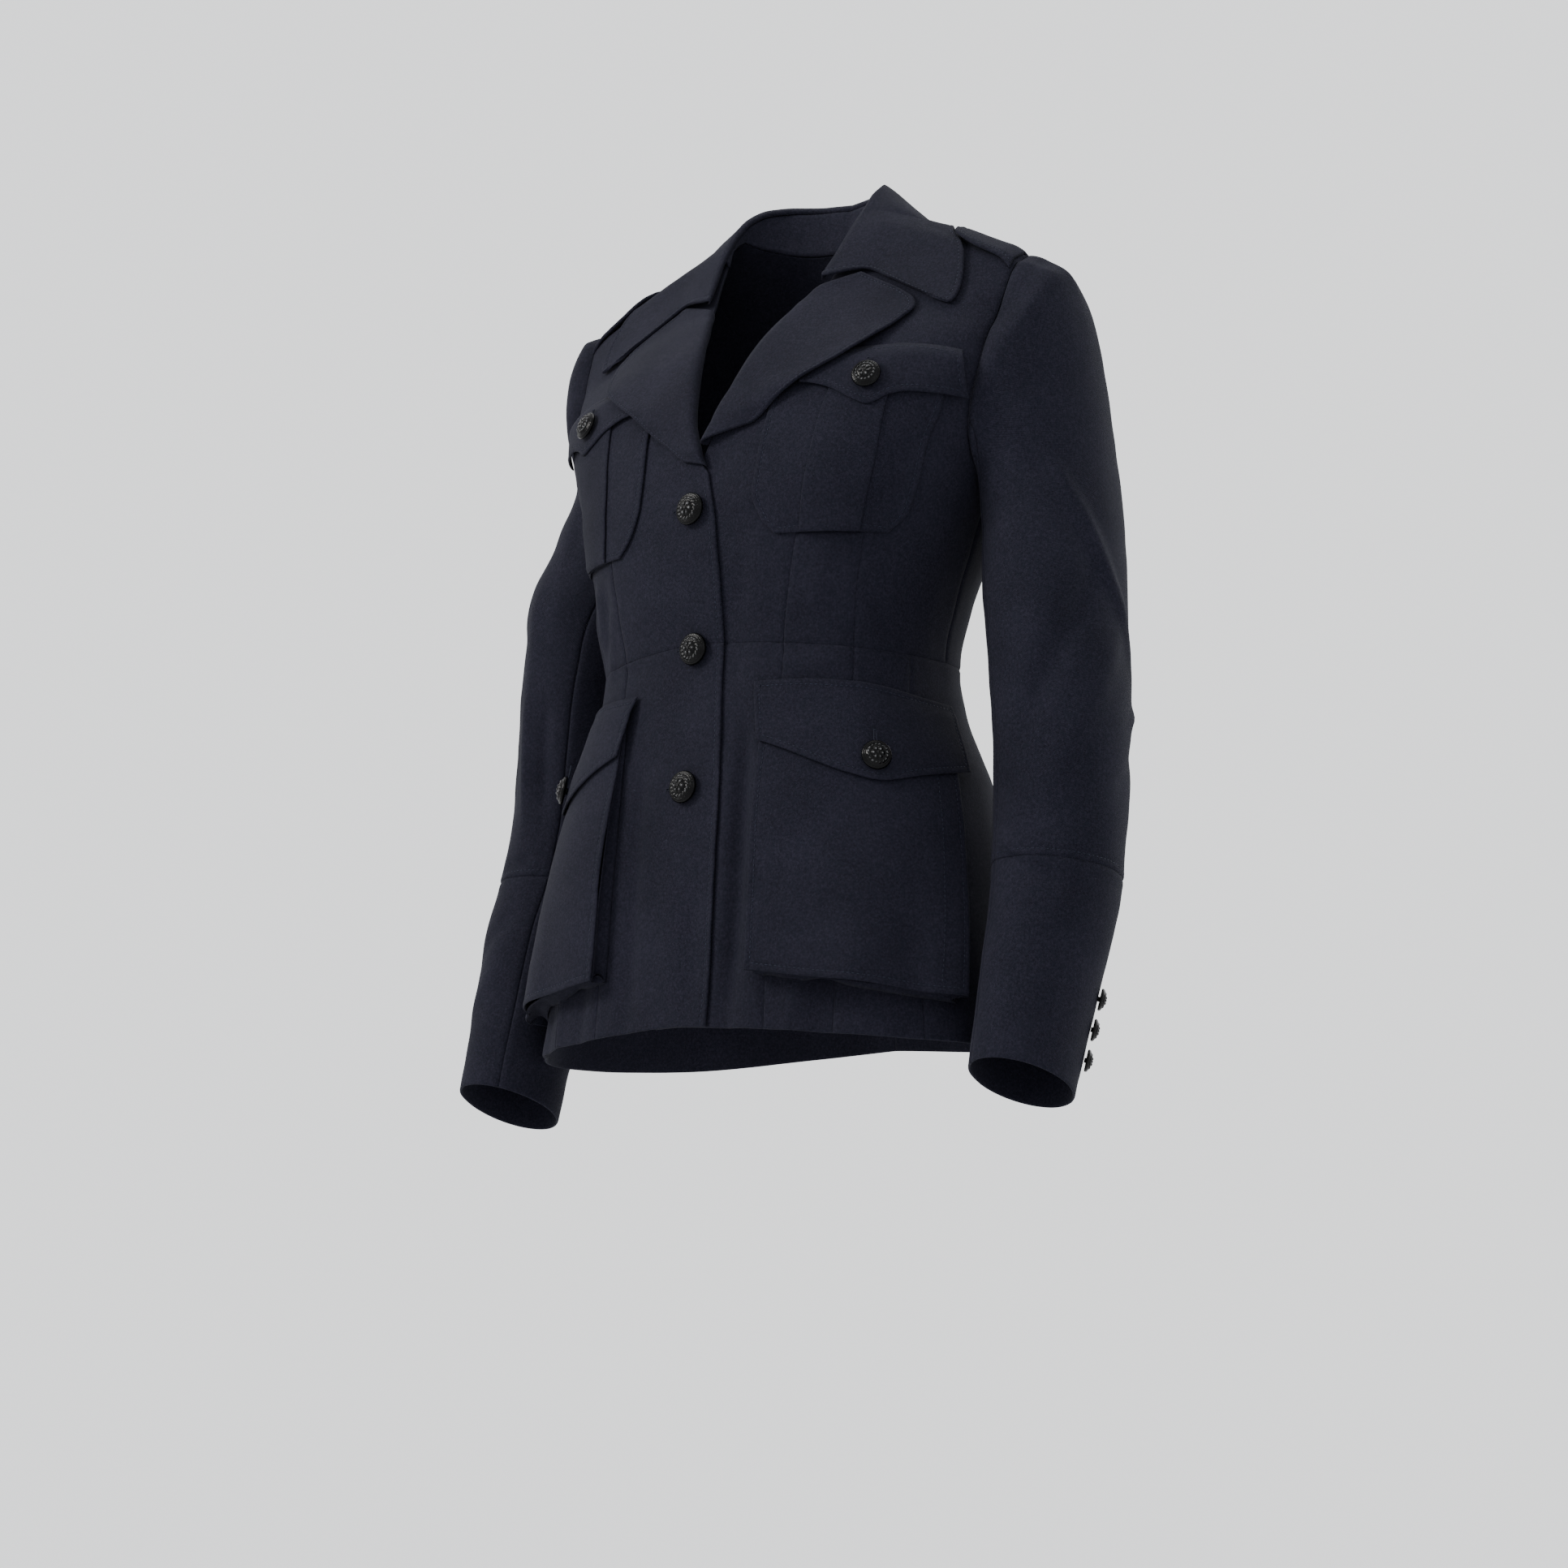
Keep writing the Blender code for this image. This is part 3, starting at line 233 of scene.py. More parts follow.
def flute(level, turn):
    """How far a flute of the skirt moves the cloth out, in millimetres."""
    fade = np.clip((FLUTE_TOP - level) / (FLUTE_TOP - HEM), 0, 1) ** 1.3
    out = np.zeros_like(turn)
    for place, width, depth in zip(*(FLUTES.columns[name] for name in ("turn", "width", "depth"))):
        out = out + depth * np.exp(-(((np.abs(turn) - place) / width) ** 2))
    return out * fade


def body_point(level, turn):
    """A point of the outer cloth of the body."""
    level, turn = np.broadcast_arrays(np.asarray(level, float), np.asarray(turn, float))
    across, along = np.sin(np.radians(turn)), np.cos(np.radians(turn))
    forward = along >= 0
    power = 2 / np.where(forward, BODY("square", level), BODY("back_square", level))
    share = np.abs(across) ** power
    depth = np.where(forward, -BODY("front", level), BODY("back", level))
    push = np.where(forward, -1, 1) * BODY("shoulder", level) * share ** 2
    out = flute(level, np.degrees(np.arccos(np.clip(along, -1, 1))))
    x = np.sign(across) * (BODY("half_width", level) + out) * share
    y = BODY("middle", level) + (depth + np.sign(depth) * out) * np.abs(along) ** power + push
    z = level - BODY("drop", level) * share ** DROP_POWER
    return np.stack([x, y, z], -1)


def unit(vectors):
    """The vectors at length 1."""
    return vectors / np.maximum(np.linalg.norm(vectors, axis=-1, keepdims=True), 1e-9)


def reach_along(line):
    """The distance along a line of points to each of them."""
    return np.concatenate([[0], np.cumsum(np.linalg.norm(np.diff(line, axis=0), axis=1))])


def body_normal(level, turn):
    """The outward direction of the body's cloth."""
    level, turn = np.broadcast_arrays(np.asarray(level, float), np.asarray(turn, float))
    level = np.clip(level, HEM + 0.6, SHOULDER - 2.0)
    step = NORMAL_STEP
    round_it = body_point(level, turn + step) - body_point(level, turn - step)
    upwards = body_point(level + step, turn) - body_point(level - step, turn)
    return unit(np.cross(round_it, upwards))


def turn_at(level, x, square="square"):
    """The turn of the front cloth at an x, or of the back with its squareness, from the centre back."""
    share = np.clip(np.abs(x) / BODY("half_width", level), 0, 1)
    return np.sign(x) * np.degrees(np.arcsin(share ** (BODY(square, level) / 2)))


def back_turn(level, x):
    """The turn of the back cloth at an x."""
    return 180 - turn_at(level, x, "back_square")


def level_at(x, z):
    """The level of the front cloth whose point at x has the height z."""
    x, z = np.broadcast_arrays(np.asarray(x, float), np.asarray(z, float))
    level = z.astype(float)
    for _ in range(12):
        share = np.clip(np.abs(x) / BODY("half_width", level), 0, 1)
        level = 0.5 * level + 0.5 * (z + BODY("drop", level) * share ** DROP_POWER)
    return level


def girth_turn(level, girth):
    """The turn at a distance round the body from the centre front."""
    level, girth = np.broadcast_arrays(np.asarray(level, float), np.asarray(girth, float))
    turns = GIRTH_TURNS
    line = body_point(level[..., None], turns)
    steps = np.linalg.norm(np.diff(line, axis=-2), axis=-1)
    reach = np.concatenate([np.zeros((*steps.shape[:-1], 1)), np.cumsum(steps, axis=-1)], axis=-1)
    target = np.abs(girth)
    cell = np.clip((reach < target[..., None]).sum(axis=-1) - 1, 0, len(turns) - 2)
    low = np.take_along_axis(reach, cell[..., None], -1)[..., 0]
    high = np.take_along_axis(reach, cell[..., None] + 1, -1)[..., 0]
    share = (target - low) / np.maximum(high - low, 1e-9)
    return np.sign(girth) * (turns[cell] + share * (turns[1] - turns[0]))


def mirror_of(side):
    """What turns the left side into this side."""
    return np.array([side, 1, 1])


def lifted(level, turn, lift, side):
    """Points above the body's cloth, on the left as worn for side 1 and the right for side -1."""
    points = body_point(level, turn) + body_normal(level, turn) * np.asarray(lift, float)[..., None]
    return points * mirror_of(side)


def on_front(x, z, lift, side):
    """Points above the front, from their x and height."""
    level = level_at(x, z)
    return lifted(level, turn_at(level, x), lift, side)


def swayed(points):
    """The points moved with the stance of the waist and hips."""
    points = np.array(points)
    points[..., 0] += SWAY("x", points[..., 2])
    return points


def thick(points, normals, thickness):
    """The inner face of a wall whose outer face is the points."""
    return points - normals * thickness


def grid_normals(points, outward):
    """Normals of a free grid, turned to the side of the outward direction."""
    along = np.gradient(points, axis=1)
    down = np.gradient(points, axis=0)
    normals = unit(np.cross(along, down))
    sign = np.sign(np.sum(normals * outward, axis=-1, keepdims=True).mean())
    return normals * sign


def body_wall(levels, rows_of_turns, side, sink=None):
    """Outer and inner points of a stretch of the body, with the shoulder seam's wall upright."""
    turn = np.array(rows_of_turns)
    level = np.repeat(np.array(levels, float)[:, None], turn.shape[1], axis=1)
    outer = body_point(level, turn)
    normal = body_normal(level, turn)
    top = level >= SHOULDER
    if top.any():
        run = np.gradient(outer, axis=1)
        upright = unit(np.cross(run, np.array([0.0, 1.0, 0.0])))
        upright = upright * np.sign(upright[..., 2:3])
        normal = np.where(top[..., None], upright, normal)
    if sink is not None:
        outer = outer - normal * sink(level, outer[..., 0])[..., None]
    inner = thick(outer, normal, BODY_CLOTH)
    return outer * mirror_of(side), inner * mirror_of(side)


def smooth_step(low, high, at):
    """From 0 at low to 1 at high, on a smooth curve."""
    t = np.clip((np.asarray(at, float) - low) / (high - low), 0, 1)
    return t * t * (3 - 2 * t)


def underlap(level, x):
    """How far in the left front lies, under the edge of the right front."""
    edge = FRONT_EDGE("over", level)
    near = 1 - smooth_step(edge + 2, edge + UNDERLAP_REACH, x)
    return UNDERLAP_DEPTH * near * (1 - smooth_step(*UNDERLAP_FADE, level))


def front_stops(level, side):
    """Turns of the inner limit, the two princess seams and the outer limit of a front."""
    if level > BREAK:
        inner = float(ROLL_LINE("x", level))
    else:
        inner = -float(FRONT_EDGE("under" if side > 0 else "over", level))
    x = [inner, float(SEAMS("front_a", level)), float(SEAMS("front_b", level))]
    turns = [float(turn_at(level, place)) for place in x]
    outer = float(ARMHOLE("front", level)) if level >= UNDERARM else SIDE_SEAM_TURN
    return np.array([*turns, outer])


# Rings of the sleeve: both ends of a ring's long way across, its y, half its depth front to back, and
# how much higher its front sits than its middle, for each millimetre forward
SLEEVE = Table(
    "ring outer_x outer_z inner_x inner_z y deep slant",
    (0, 196, -58, 165, -217, 2, 44, 0.0),
    (1, 211, -64, 165.5, -223, 6, 50, 0.02),
    (2, 226, -76, 163, -230, 13, 55, 0.04),
    (3, 232, -110, 160, -239, 21, 58, 0.06),
    (4, 234, -155, 156, -251, 29, 59.5, 0.06),
    (5, 239, -205, 154, -267, 32, 60, 0.04),
    (6, 249, -252, 157, -291, 25, 59, 0.02),
    (7, 256, -300, 163, -323, 18, 57, 0.04),
    (8, 262, -345, 170, -358, 12, 55.5, 0.06),
    (9, 266, -390, 176, -397, 7, 53.5, 0.08),
    (10, 268, -440, 179, -443, 2, 51, 0.11),
    (11, 268, -500, 181, -500, -6, 48, 0.15),
    (12, 267, -536, 184, -536, -16, 45.5, 0.2),
    (13, 263, -572, 187, -572, -27, 43, 0.26),
    (14, 261, -608, 190, -608, -39, 40.5, 0.32),
    (15, 260, -644, 192, -644, -51, 38.5, 0.38),
)
# The right sleeve hangs a little further out and back than the left, and bends a little higher
RIGHT_ARM = Table(
    "ring out back up",
    (0, 0, 0, 0),
    (1, 2, 2, 12),
    (2, -2, 8, 10),
    (3, -10, 17, 5),
    (4, -9, 14, 1),
    (5, 4, 0, 0),
    (6, 10, -6, 0),
    (7, 4, -2, 1),
    (8, 0, 0, 3),
    (9, -3, 2, 7),
    (10, -2, 5, 13),
    (11, 4, 6, 19),
    (12, 9, 4, 14),
    (13, 10, 3, 7),
    (14, 9, 3, 2),
    (15, 9, 5, 0),
)
# Above the first of these rings the pose moves the outer side alone, below the second the whole sleeve
ARM_FREE_RINGS = (5, 8)
OUTER_POWER = 1.5
# The ring at which the armhole's shape has become a plain ring, and the ring of the elbow seam
CAP_RINGS = 4
ELBOW_RING = 11
ARMHOLE_SHIFT = 0.5
UNDER_SEAM_ANGLE = 122
BACK_SEAM_ANGLE = 291


def armhole_ring(levels):
    """The armhole's points, from the shoulder down the front and up the back, with their ring angles."""
    levels = [level for level in levels if level >= UNDERARM]
    front = [body_point(level, ARMHOLE("front", level)) for level in reversed(levels)]
    back = [body_point(level, ARMHOLE("back", level)) for level in levels[1:-1]]
    points = np.array(front + back)
    ring = ring_frame(0)
    flat = points - ring["centre"]
    high = (SLEEVE("outer_z", 0) - SLEEVE("inner_z", 0)) / 2
    angle = np.degrees(np.arctan2(-flat[:, 1] / ring["deep"], flat[:, 2] / high)) % 360
    angle[:8] = np.where(angle[:8] > 180, angle[:8] - 360, angle[:8])
    return points, angle


def ring_frame(ring):
    """A plain ring's centre, its reach to the outermost point, its half depth and its slant."""
    ox, oz, ix, iz = (SLEEVE(name, ring) for name in ("outer_x", "outer_z", "inner_x", "inner_z"))
    zero = np.zeros_like(ox)
    return {
        "centre": np.stack([(ox + ix) / 2, SLEEVE("y", ring), (oz + iz) / 2], -1),
        "reach": np.stack([(ox - ix) / 2, zero, (oz - iz) / 2], -1),
        "deep": SLEEVE("deep", ring),
        "slant": SLEEVE("slant", ring),
    }


def sleeve_ring(ring, angle):
    """Points of one ring of the sleeve, 0 degrees outermost, 90 in front and 180 against the body."""
    frame = ring_frame(ring)
    turn = np.radians(angle)
    forward = frame["deep"] * np.sin(turn)
    points = frame["centre"] + frame["reach"] * np.cos(turn)[:, None]
    points[:, 1] -= forward
    points[:, 2] += frame["slant"] * forward
    return points


def sleeve_point(ring, angle, hole_points, hole_angle, side):
    """A ring that starts as the armhole itself and becomes the plain ring over the cap."""
    points = sleeve_ring(ring, angle)
    if ring < CAP_RINGS:
        difference = hole_points - sleeve_ring(0.0, hole_angle)
        carried = [np.interp(angle, hole_angle, axis, period=360) for axis in difference.T]
        points = points + np.stack(carried, -1) * (1 - smooth_step(0, CAP_RINGS, ring))
    if side < 0:
        pose = np.array([float(RIGHT_ARM(name, ring)) for name in ("out", "back", "up")])
        outer_side = ((1 + np.cos(np.radians(angle)))[:, None] / 2) ** OUTER_POWER
        weight = outer_side + (1 - outer_side) * smooth_step(*ARM_FREE_RINGS, ring)
        points = points + pose * weight
    return points


# The lapel's outer edge on the front, by x and height, and its height above the front there. The
# rows run up the roll line, one for each stretch between two rows of the front.
LAPEL = Table(
    "row edge_x edge_z edge_lift",
    (0, -2, -213, 1.9),
    (0.5, 14, -202, 1.9),
    (1, 30, -190, 1.9),
    (1.5, 47, -179, 2.4),
    (2, 66, -165, 8.0),
    (2.5, 86, -152.4, 10.5),
    (3, 106, -139, 9.6),
    (3.5, 121, -123.5, 6.0),
    (4, 131.5, -109, 3.2),
    (4.4, 136, -99, 2.8),
    (4.7, 132.5, -91.5, 2.8),
    (5, 124, -85, 3.0),
    (5.5, 102, -73, 3.4),
    (6, 80.5, -61.8, 3.8),
)
LAPEL_ROWS = (0.45, 0.7, 1, 1.5, 2, 2.5, 3, 3.5, 4, 4.4, 4.7, 5, 5.5, 6)
LEFT_LAPEL_START = 1.4
ROLL_LEVELS = (-213, -200, -175, -145, -115, -87, -60)
# The path across a lapel: distance from the roll line and height above the front, of the middle of
# the cloth. The first points are the roll itself.
ROLL_CURL = ((-0.9, -1.1), (-2.9, -0.5), (-4.1, 1.5), (-3.4, 3.9), (-1.0, 5.1))
LAPEL_SHARES = (0.12, 0.28, 0.46, 0.64, 0.82, 1.0)
ROLL_LIFT = 5.5


def lapel_path(width, edge_lift):
    """Distances and heights of the middle of the cloth across a lapel of this width."""
    size = min(1.0, max(0.7, width / 30))
    path = [(far * size, -1.1 + (high + 1.1) * size) for far, high in ROLL_CURL]
    top = -1.1 + (ROLL_LIFT + 1.1) * size
    for share in LAPEL_SHARES:
        path.append((share * width, top + (edge_lift - top) * share ** 1.4))
    return np.array(path)


def crosswise(path, thickness):
    """The path moved to both faces of the cloth."""
    run = unit(np.gradient(path, axis=0))
    away = np.stack([-run[:, 1], run[:, 0]], -1) * thickness / 2
    return path + away, path - away


def roll_point(row):
    """The x and height of the front's inner edge at a row of the lapel."""
    levels = np.array(ROLL_LEVELS, float)
    points = body_point(levels, turn_at(levels, ROLL_LINE("x", levels)))
    return np.array([np.interp(row, np.arange(len(levels)), points[:, axis]) for axis in (0, 2)])


# The collar, from the centre back to its front end: the top of its roll, the edge of its leaf, the
# share of the neck seam under it, and how far its leaf's middle rises towards the notch
COLLAR = Table(
    "place roll_x roll_y roll_z edge_x edge_y edge_z neck bend",
    (0, 0, 60, 28, 0, 86, -36, 0.0, 0),
    (1, 20, 57, 29, 33, 84, -36, 0.14, 0),
    (2, 39, 46, 29, 68, 74, -35, 0.28, 0),
    (3, 53, 29, 26, 98, 53, -34, 0.38, 0),
    (4, 60, 11, 16, 119, 28, -34, 0.45, 0),
    (5, 62, -3, 2, 137, 5, -38, 0.55, 0),
    (6, 61, -17, -16, 156, -15, -53, 0.68, 2),
    (7, 58, -31, -38, 164, -30, -87, 0.84, 5),
    (7.5, 56, -38, -49, 160, -32, -98, 0.92, 8),
    (8, 54, -45, -59, 146, -32, -91, 1.0, 10),
)
STAND_END = 6.2
COLLAR_CURL = ((-1.7, -4.0), (-1.8, -1.6), (0.0, 0.2), (2.0, -1.0))
LEAF_SHARES = (0.14, 0.32, 0.52, 0.76, 1.0)
NOTCH_SHARE = 0.32
LEAF_BULGE = 3.0
LEAF_LIFT = 3.2
LEAF_CLEAR = 2.0


def shoulder_height(x, y):
    """The height of the shoulder's cloth over a place, by interpolation along the levels."""
    levels = np.linspace(-150, SHOULDER, 120)
    heights = np.empty(x.shape)
    for place in np.ndindex(x.shape):
        across = abs(float(x[place]))
        front = body_point(levels, turn_at(levels, across))
        back = body_point(levels, back_turn(levels, across))
        front = front[np.argmin(front[:, 1]):]
        back = back[np.argmax(back[:, 1]):]
        line = np.concatenate([front, back[::-1]])
        heights[place] = np.interp(y[place], line[:, 1], line[:, 2])
    return heights


def neck_seam():
    """The neck seam from centre back to gorge: points, normals, the way into the neck, and shares."""
    back_levels = np.array([-12, -7, -1, 4, 12], float)
    front_levels = np.array([17, 12, 4, -12, -29, -60], float)
    turns = [back_turn(back_levels, BACK_NECK("x", back_levels)),
             turn_at(front_levels, ROLL_LINE("x", front_levels))]
    rows = list(zip((back_levels, front_levels), turns))
    points = np.concatenate([body_point(*row) for row in rows])
    run = unit(np.gradient(points, axis=0))
    normal = np.concatenate([body_normal(*row) for row in rows])
    inward = unit(np.cross(run, normal))
    middle = np.array([0, 10, -10.0])
    inward = inward * np.sign(np.sum(inward * (middle - points), axis=1, keepdims=True))
    reach = reach_along(points)
    return points, normal, inward, reach / reach[-1]


# The chest pocket, by x at each height
CHEST_POCKET = Table(
    "z inner pleat_inner pleat_outer outer",
    (-148, 57, 101, 142, 171),
    (-174, 54.5, 97, 138, 167),
    (-205, 52, 92, 133, 156),
    (-232, 51, 89, 128, 149),
    (-251, 58, 87.5, 124, 143),
    (-264, 70, 87, 121.5, 134),
)
CHEST_FLAP = Table(
    "x top bottom",
    (76, -132, -157),
    (86, -131, -159),
    (102, -130, -164.5),
    (115, -130, -172),
    (127, -130, -177),
    (139, -130, -170.5),
    (150, -131, -168),
    (164, -133, -168.5),
    (177, -136, -169.5),
)
POCKET_MOUTH = -148
POCKET_DEEP = 116
# Rough widths of the chest pocket's three stretches, its pleat and its flap, and the lengths of both
POCKET_WIDTHS = (40, 40, 28)
PLEAT_WIDE = 40
POCKET_LONG = 118
FLAP_WIDE = 104
FLAP_LONG = 36
FLAP_TURN = 0.16
POCKET_LIFT = LAY_GAP + POCKET_CLOTH + 0.4
PLEAT_LIFT = POCKET_LIFT + LAY_GAP + POCKET_CLOTH
FLAP_LIFT = PLEAT_LIFT + LAY_GAP + POCKET_CLOTH


# The bellows pocket, by the share of the way down its face: the distance round the body of its two
# sides, and how far its face stands off the skirt
LOW_POCKET = Table(
    "down inner outer lift_inner lift_outer",
    (0, 63, 200, 3.6, 4.5),
    (0.2, 62, 203, 7, 9),
    (0.45, 63, 206, 12, 14),
    (0.7, 65, 207, 14, 18),
    (1, 66, 208, 15, 20),
)
LOW_POCKET_MOUTH = (-374, -8)
LOW_POCKET_FOOT = (-565, -13)
# Its flap, by the share of the way across it: the distance round the body at its top and bottom, and
# the levels of both
LOW_FLAP = Table(
    "across girth_top girth_bottom top bottom",
    (0, 53, 61, -362, -406),
    (0.15, 78, 82, -360, -413),
    (0.3, 101, 104, -359, -422),
    (0.45, 124, 126, -359, -430),
    (0.6, 147, 147, -361, -434.5),
    (0.75, 170, 172, -364, -429),
    (0.88, 191, 193, -366, -425),
    (1, 209, 213, -367, -422),
)
FLAP_CLEAR = 1.0
GUSSET_PULL = 5.0
GUSSET_FOOT = 1.2


def mouth_level(share):
    """The level of the bellows pocket's top at a share of the way across."""
    return LOW_POCKET_MOUTH[0] + LOW_POCKET_MOUTH[1] * share ** 1.5


def foot_level(share):
    """The level of the bellows pocket's bottom at a share of the way across."""
    return LOW_POCKET_FOOT[0] + LOW_POCKET_FOOT[1] * share


def pocket_place(down, share):
    """The distance round the body, the level and the face's lift at a place of the pocket."""
    down, share = np.broadcast_arrays(np.asarray(down, float), np.asarray(share, float))
    inner, outer = LOW_POCKET("inner", down), LOW_POCKET("outer", down)
    low, high = LOW_POCKET("lift_inner", down), LOW_POCKET("lift_outer", down)
    mouth, foot = mouth_level(share), foot_level(share)
    return inner + (outer - inner) * share, mouth + (foot - mouth) * down, low + (high - low) * share


def face_lift(girth, level):
    """How far the pocket's face stands off at a distance round the body and a level."""
    share = np.clip((girth - 60) / 145, 0, 1)
    down = np.clip((mouth_level(share) - level) / (mouth_level(share) - foot_level(share)), 0, 1)
    return pocket_place(down, share)[2]


def at_girth(girth, level, lift, side):
    """Points above the hip, from their distance round the body and level."""
    return lifted(level, girth_turn(level, girth), lift, side)


# The shoulder strap, by x: how far the middle of its cloth stands off the shoulder, its half-width, and
# the share of the shoulder's own curve that it follows
STRAP = Table(
    "x lift half_width bend",
    (139, 5.4, 5, 0.6),
    (141, 5.4, 10, 0.6),
    (145, 5.3, 15, 0.6),
    (153, 4.9, 18, 0.65),
    (165, 4.1, 19, 0.75),
    (180, 3.6, 18.5, 0.85),
    (193.5, 4.0, 18, 0.9),
)
STRAP_Y = 5.0
# How far the strap's end goes down into the armhole seam
STRAP_DIVE = 2.3

# Places of the buttons, by level, x and height, distance round the body and level, and ring and angle
FRONT_BUTTON_LEVELS = (-239, -337, -436)
CHEST_BUTTON = (124.5, -157)
LOW_BUTTON = (141, -418)
CUFF_BUTTON_RINGS = (13.2, 13.76, 14.32)
CUFF_BUTTON_ANGLE = 321
# Radii of the buttons
FRONT_BUTTON = 11.6
POCKET_BUTTON = 10.6
CUFF_BUTTON = 7.6


# Creases of the cloth, in their own sizes: a soft ridge, or a trough where the height is negative, from
# one place to another. On the front and back a place is its x and height, on a sleeve its ring and angle.
CREASES = (
    # surface, side, start, middle, end, width, height
    ("front", 1, (45, -372), (47, -490), (43, -640), 7, -6.0),
    ("front", 1, (33, -400), (34, -500), (31, -640), 6, 2.0),
    ("front", 1, (62, -470), (66, -540), (64, -640), 9, 2.2),
    ("front", -1, (44, -400), (46, -500), (44, -640), 9, -4.0),
    ("front", 1, (112, -500), (116, -560), (118, -640), 10, -3.0),
    ("front", 1, (92, -500), (94, -560), (94, -640), 9, 2.6),
    ("front", -1, (92, -520), (94, -570), (96, -640), 7, -2.4),
    ("front", -1, (114, -520), (118, -570), (120, -640), 7, 2.4),
    ("front", -1, (136, -500), (140, -570), (142, -640), 8, -2.6),
    ("front", 1, (22, -246), (44, -238), (66, -226), 6, 0.9),
    ("front", 1, (20, -262), (42, -262), (64, -252), 6, -0.8),
    ("front", -1, (14, -250), (38, -244), (60, -232), 6, 0.8),
    ("front", 1, (150, -196), (142, -225), (132, -262), 10, -3.0),
    ("front", 1, (48, -262), (40, -296), (34, -325), 9, -2.0),
    ("front", 1, (104, -275), (96, -300), (92, -328), 8, 1.4),
    ("front", -1, (110, -268), (106, -300), (108, -330), 5, 2.4),
    ("front", -1, (97, -272), (94, -303), (97, -331), 5, -2.4),
    ("front", -1, (88, -292), (90, -320), (94, -352), 5, 1.7),
    ("front", -1, (118, -300), (114, -330), (116, -356), 5, -2.2),
    ("front", -1, (126, -282), (123, -318), (125, -352), 5, 2.4),
    ("front", 1, (118, -296), (124, -318), (126, -345), 6, -1.6),
    ("front", 1, (108, -336), (80, -343), (48, -341), 5, -1.3),
    ("front", -1, (96, -338), (70, -345), (42, -343), 5, -1.4),
    ("front", 1, (120, -350), (92, -352), (60, -349), 5, 1.2),
    ("front", 1, (12, -500), (14, -550), (12, -600), 8, -1.4),
    ("front", -1, (8, -470), (4, -530), (6, -600), 12, 1.8),
    ("back", 1, (20, -318), (52, -312), (86, -300), 7, -1.6),
    ("back", 1, (14, -330), (46, -330), (80, -322), 6, 1.2),
    ("back", -1, (22, -312), (56, -306), (90, -290), 7, -1.5),
    ("back", -1, (12, -326), (44, -324), (84, -312), 6, 1.1),
    ("back", 1, (60, -150), (84, -190), (104, -236), 12, -1.6),
    ("back", -1, (56, -158), (80, -196), (100, -240), 12, -1.5),
    ("back", 1, (112, -140), (108, -180), (112, -220), 9, 1.3),
    ("back", -1, (110, -146), (107, -184), (111, -226), 9, 1.4),
    ("back", 1, (14, -60), (40, -50), (70, -52), 10, -1.0),
    ("back", -1, (14, -62), (38, -52), (72, -55), 10, -1.0),
    ("back", 1, (50, -420), (56, -510), (60, -604), 12, -2.4),
    ("back", -1, (46, -430), (50, -515), (54, -604), 12, -2.2),
    ("back", 1, (100, -400), (108, -500), (114, -604), 12, 2.0),
    ("sleeve", 1, (4.3, 64), (6.3, 18), (8.7, -48), 7, 3.4),
    ("sleeve", 1, (4.0, 78), (5.5, 44), (7.2, 12), 8, -2.4),
    ("sleeve", 1, (6.5, 4), (8.1, 50), (9.9, 96), 11, -4.2),
    ("sleeve", 1, (7.3, -14), (9.0, 28), (10.5, 74), 11, 2.8),
    ("sleeve", 1, (8.2, -86), (8.75, -54), (9.2, -18), 5, 2.4),
    ("sleeve", 1, (9.0, -70), (9.7, -30), (10.4, 12), 9, -1.6),
    ("sleeve", 1, (9.9, 122), (10.3, 92), (10.8, 50), 6, -2.6),
    ("sleeve", 1, (10.5, 126), (10.9, 96), (11.2, 60), 5, 1.8),
    ("sleeve", 1, (10.9, 118), (11.15, 76), (11.6, 28), 7, -3.4),
    ("sleeve", 1, (11.8, 116), (12.2, 86), (12.5, 52), 6, 1.2),
    ("sleeve", 1, (2.0, 98), (3.4, 92), (5.0, 96), 9, -1.6),
    ("sleeve", 1, (3.2, 284), (5.4, 300), (8.0, 292), 11, -2.0),
    ("sleeve", 1, (8.4, 250), (9.2, 280), (10.3, 306), 8, 2.0),
    ("sleeve", 1, (9.4, 236), (10.1, 262), (10.9, 286), 7, -2.0),
    ("sleeve", 1, (1.4, 226), (3.0, 236), (5.0, 232), 8, -1.6),
    ("sleeve", 1, (0.5, -60), (0.5, 0), (0.5, 60), 6, 1.6),
    ("sleeve", -1, (0.5, -60), (0.5, 0), (0.5, 60), 6, 1.6),
    ("sleeve", -1, (5.4, 66), (6.8, 72), (8.2, 78), 9, 1.6),
    ("sleeve", -1, (7.4, 74), (9.0, 78), (10.55, 84), 6, 2.8),
    ("sleeve", -1, (7.6, 98), (9.0, 100), (10.5, 106), 7, -3.2),
    ("sleeve", -1, (7.8, 52), (9.2, 54), (10.4, 56), 8, -1.6),
    ("sleeve", -1, (10.7, 54), (10.8, 80), (10.7, 104), 4, -2.6),
    ("sleeve", -1, (6.0, 46), (7.2, 20), (9.0, -30), 8, 1.6),
    ("sleeve", -1, (11.6, 110), (12.1, 76), (12.8, 40), 8, -1.6),
    ("sleeve", -1, (12.4, 104), (13.1, 70), (13.8, 40), 8, 1.2),
    ("sleeve", -1, (2.0, 96), (3.6, 88), (5.4, 92), 9, -1.8),
    ("sleeve", -1, (3.2, 284), (5.4, 300), (8.0, 290), 11, -2.0),
    ("sleeve", -1, (8.6, 246), (9.4, 276), (10.5, 300), 8, 1.8),
    ("sleeve", -1, (9.6, 234), (10.3, 260), (11.0, 284), 7, -1.8),
)
CREASE_STEPS = 9
# How many widths a crease reaches to its side, and the share of its length over which each end fades
CREASE_REACH = 4
CREASE_FADE = 0.3
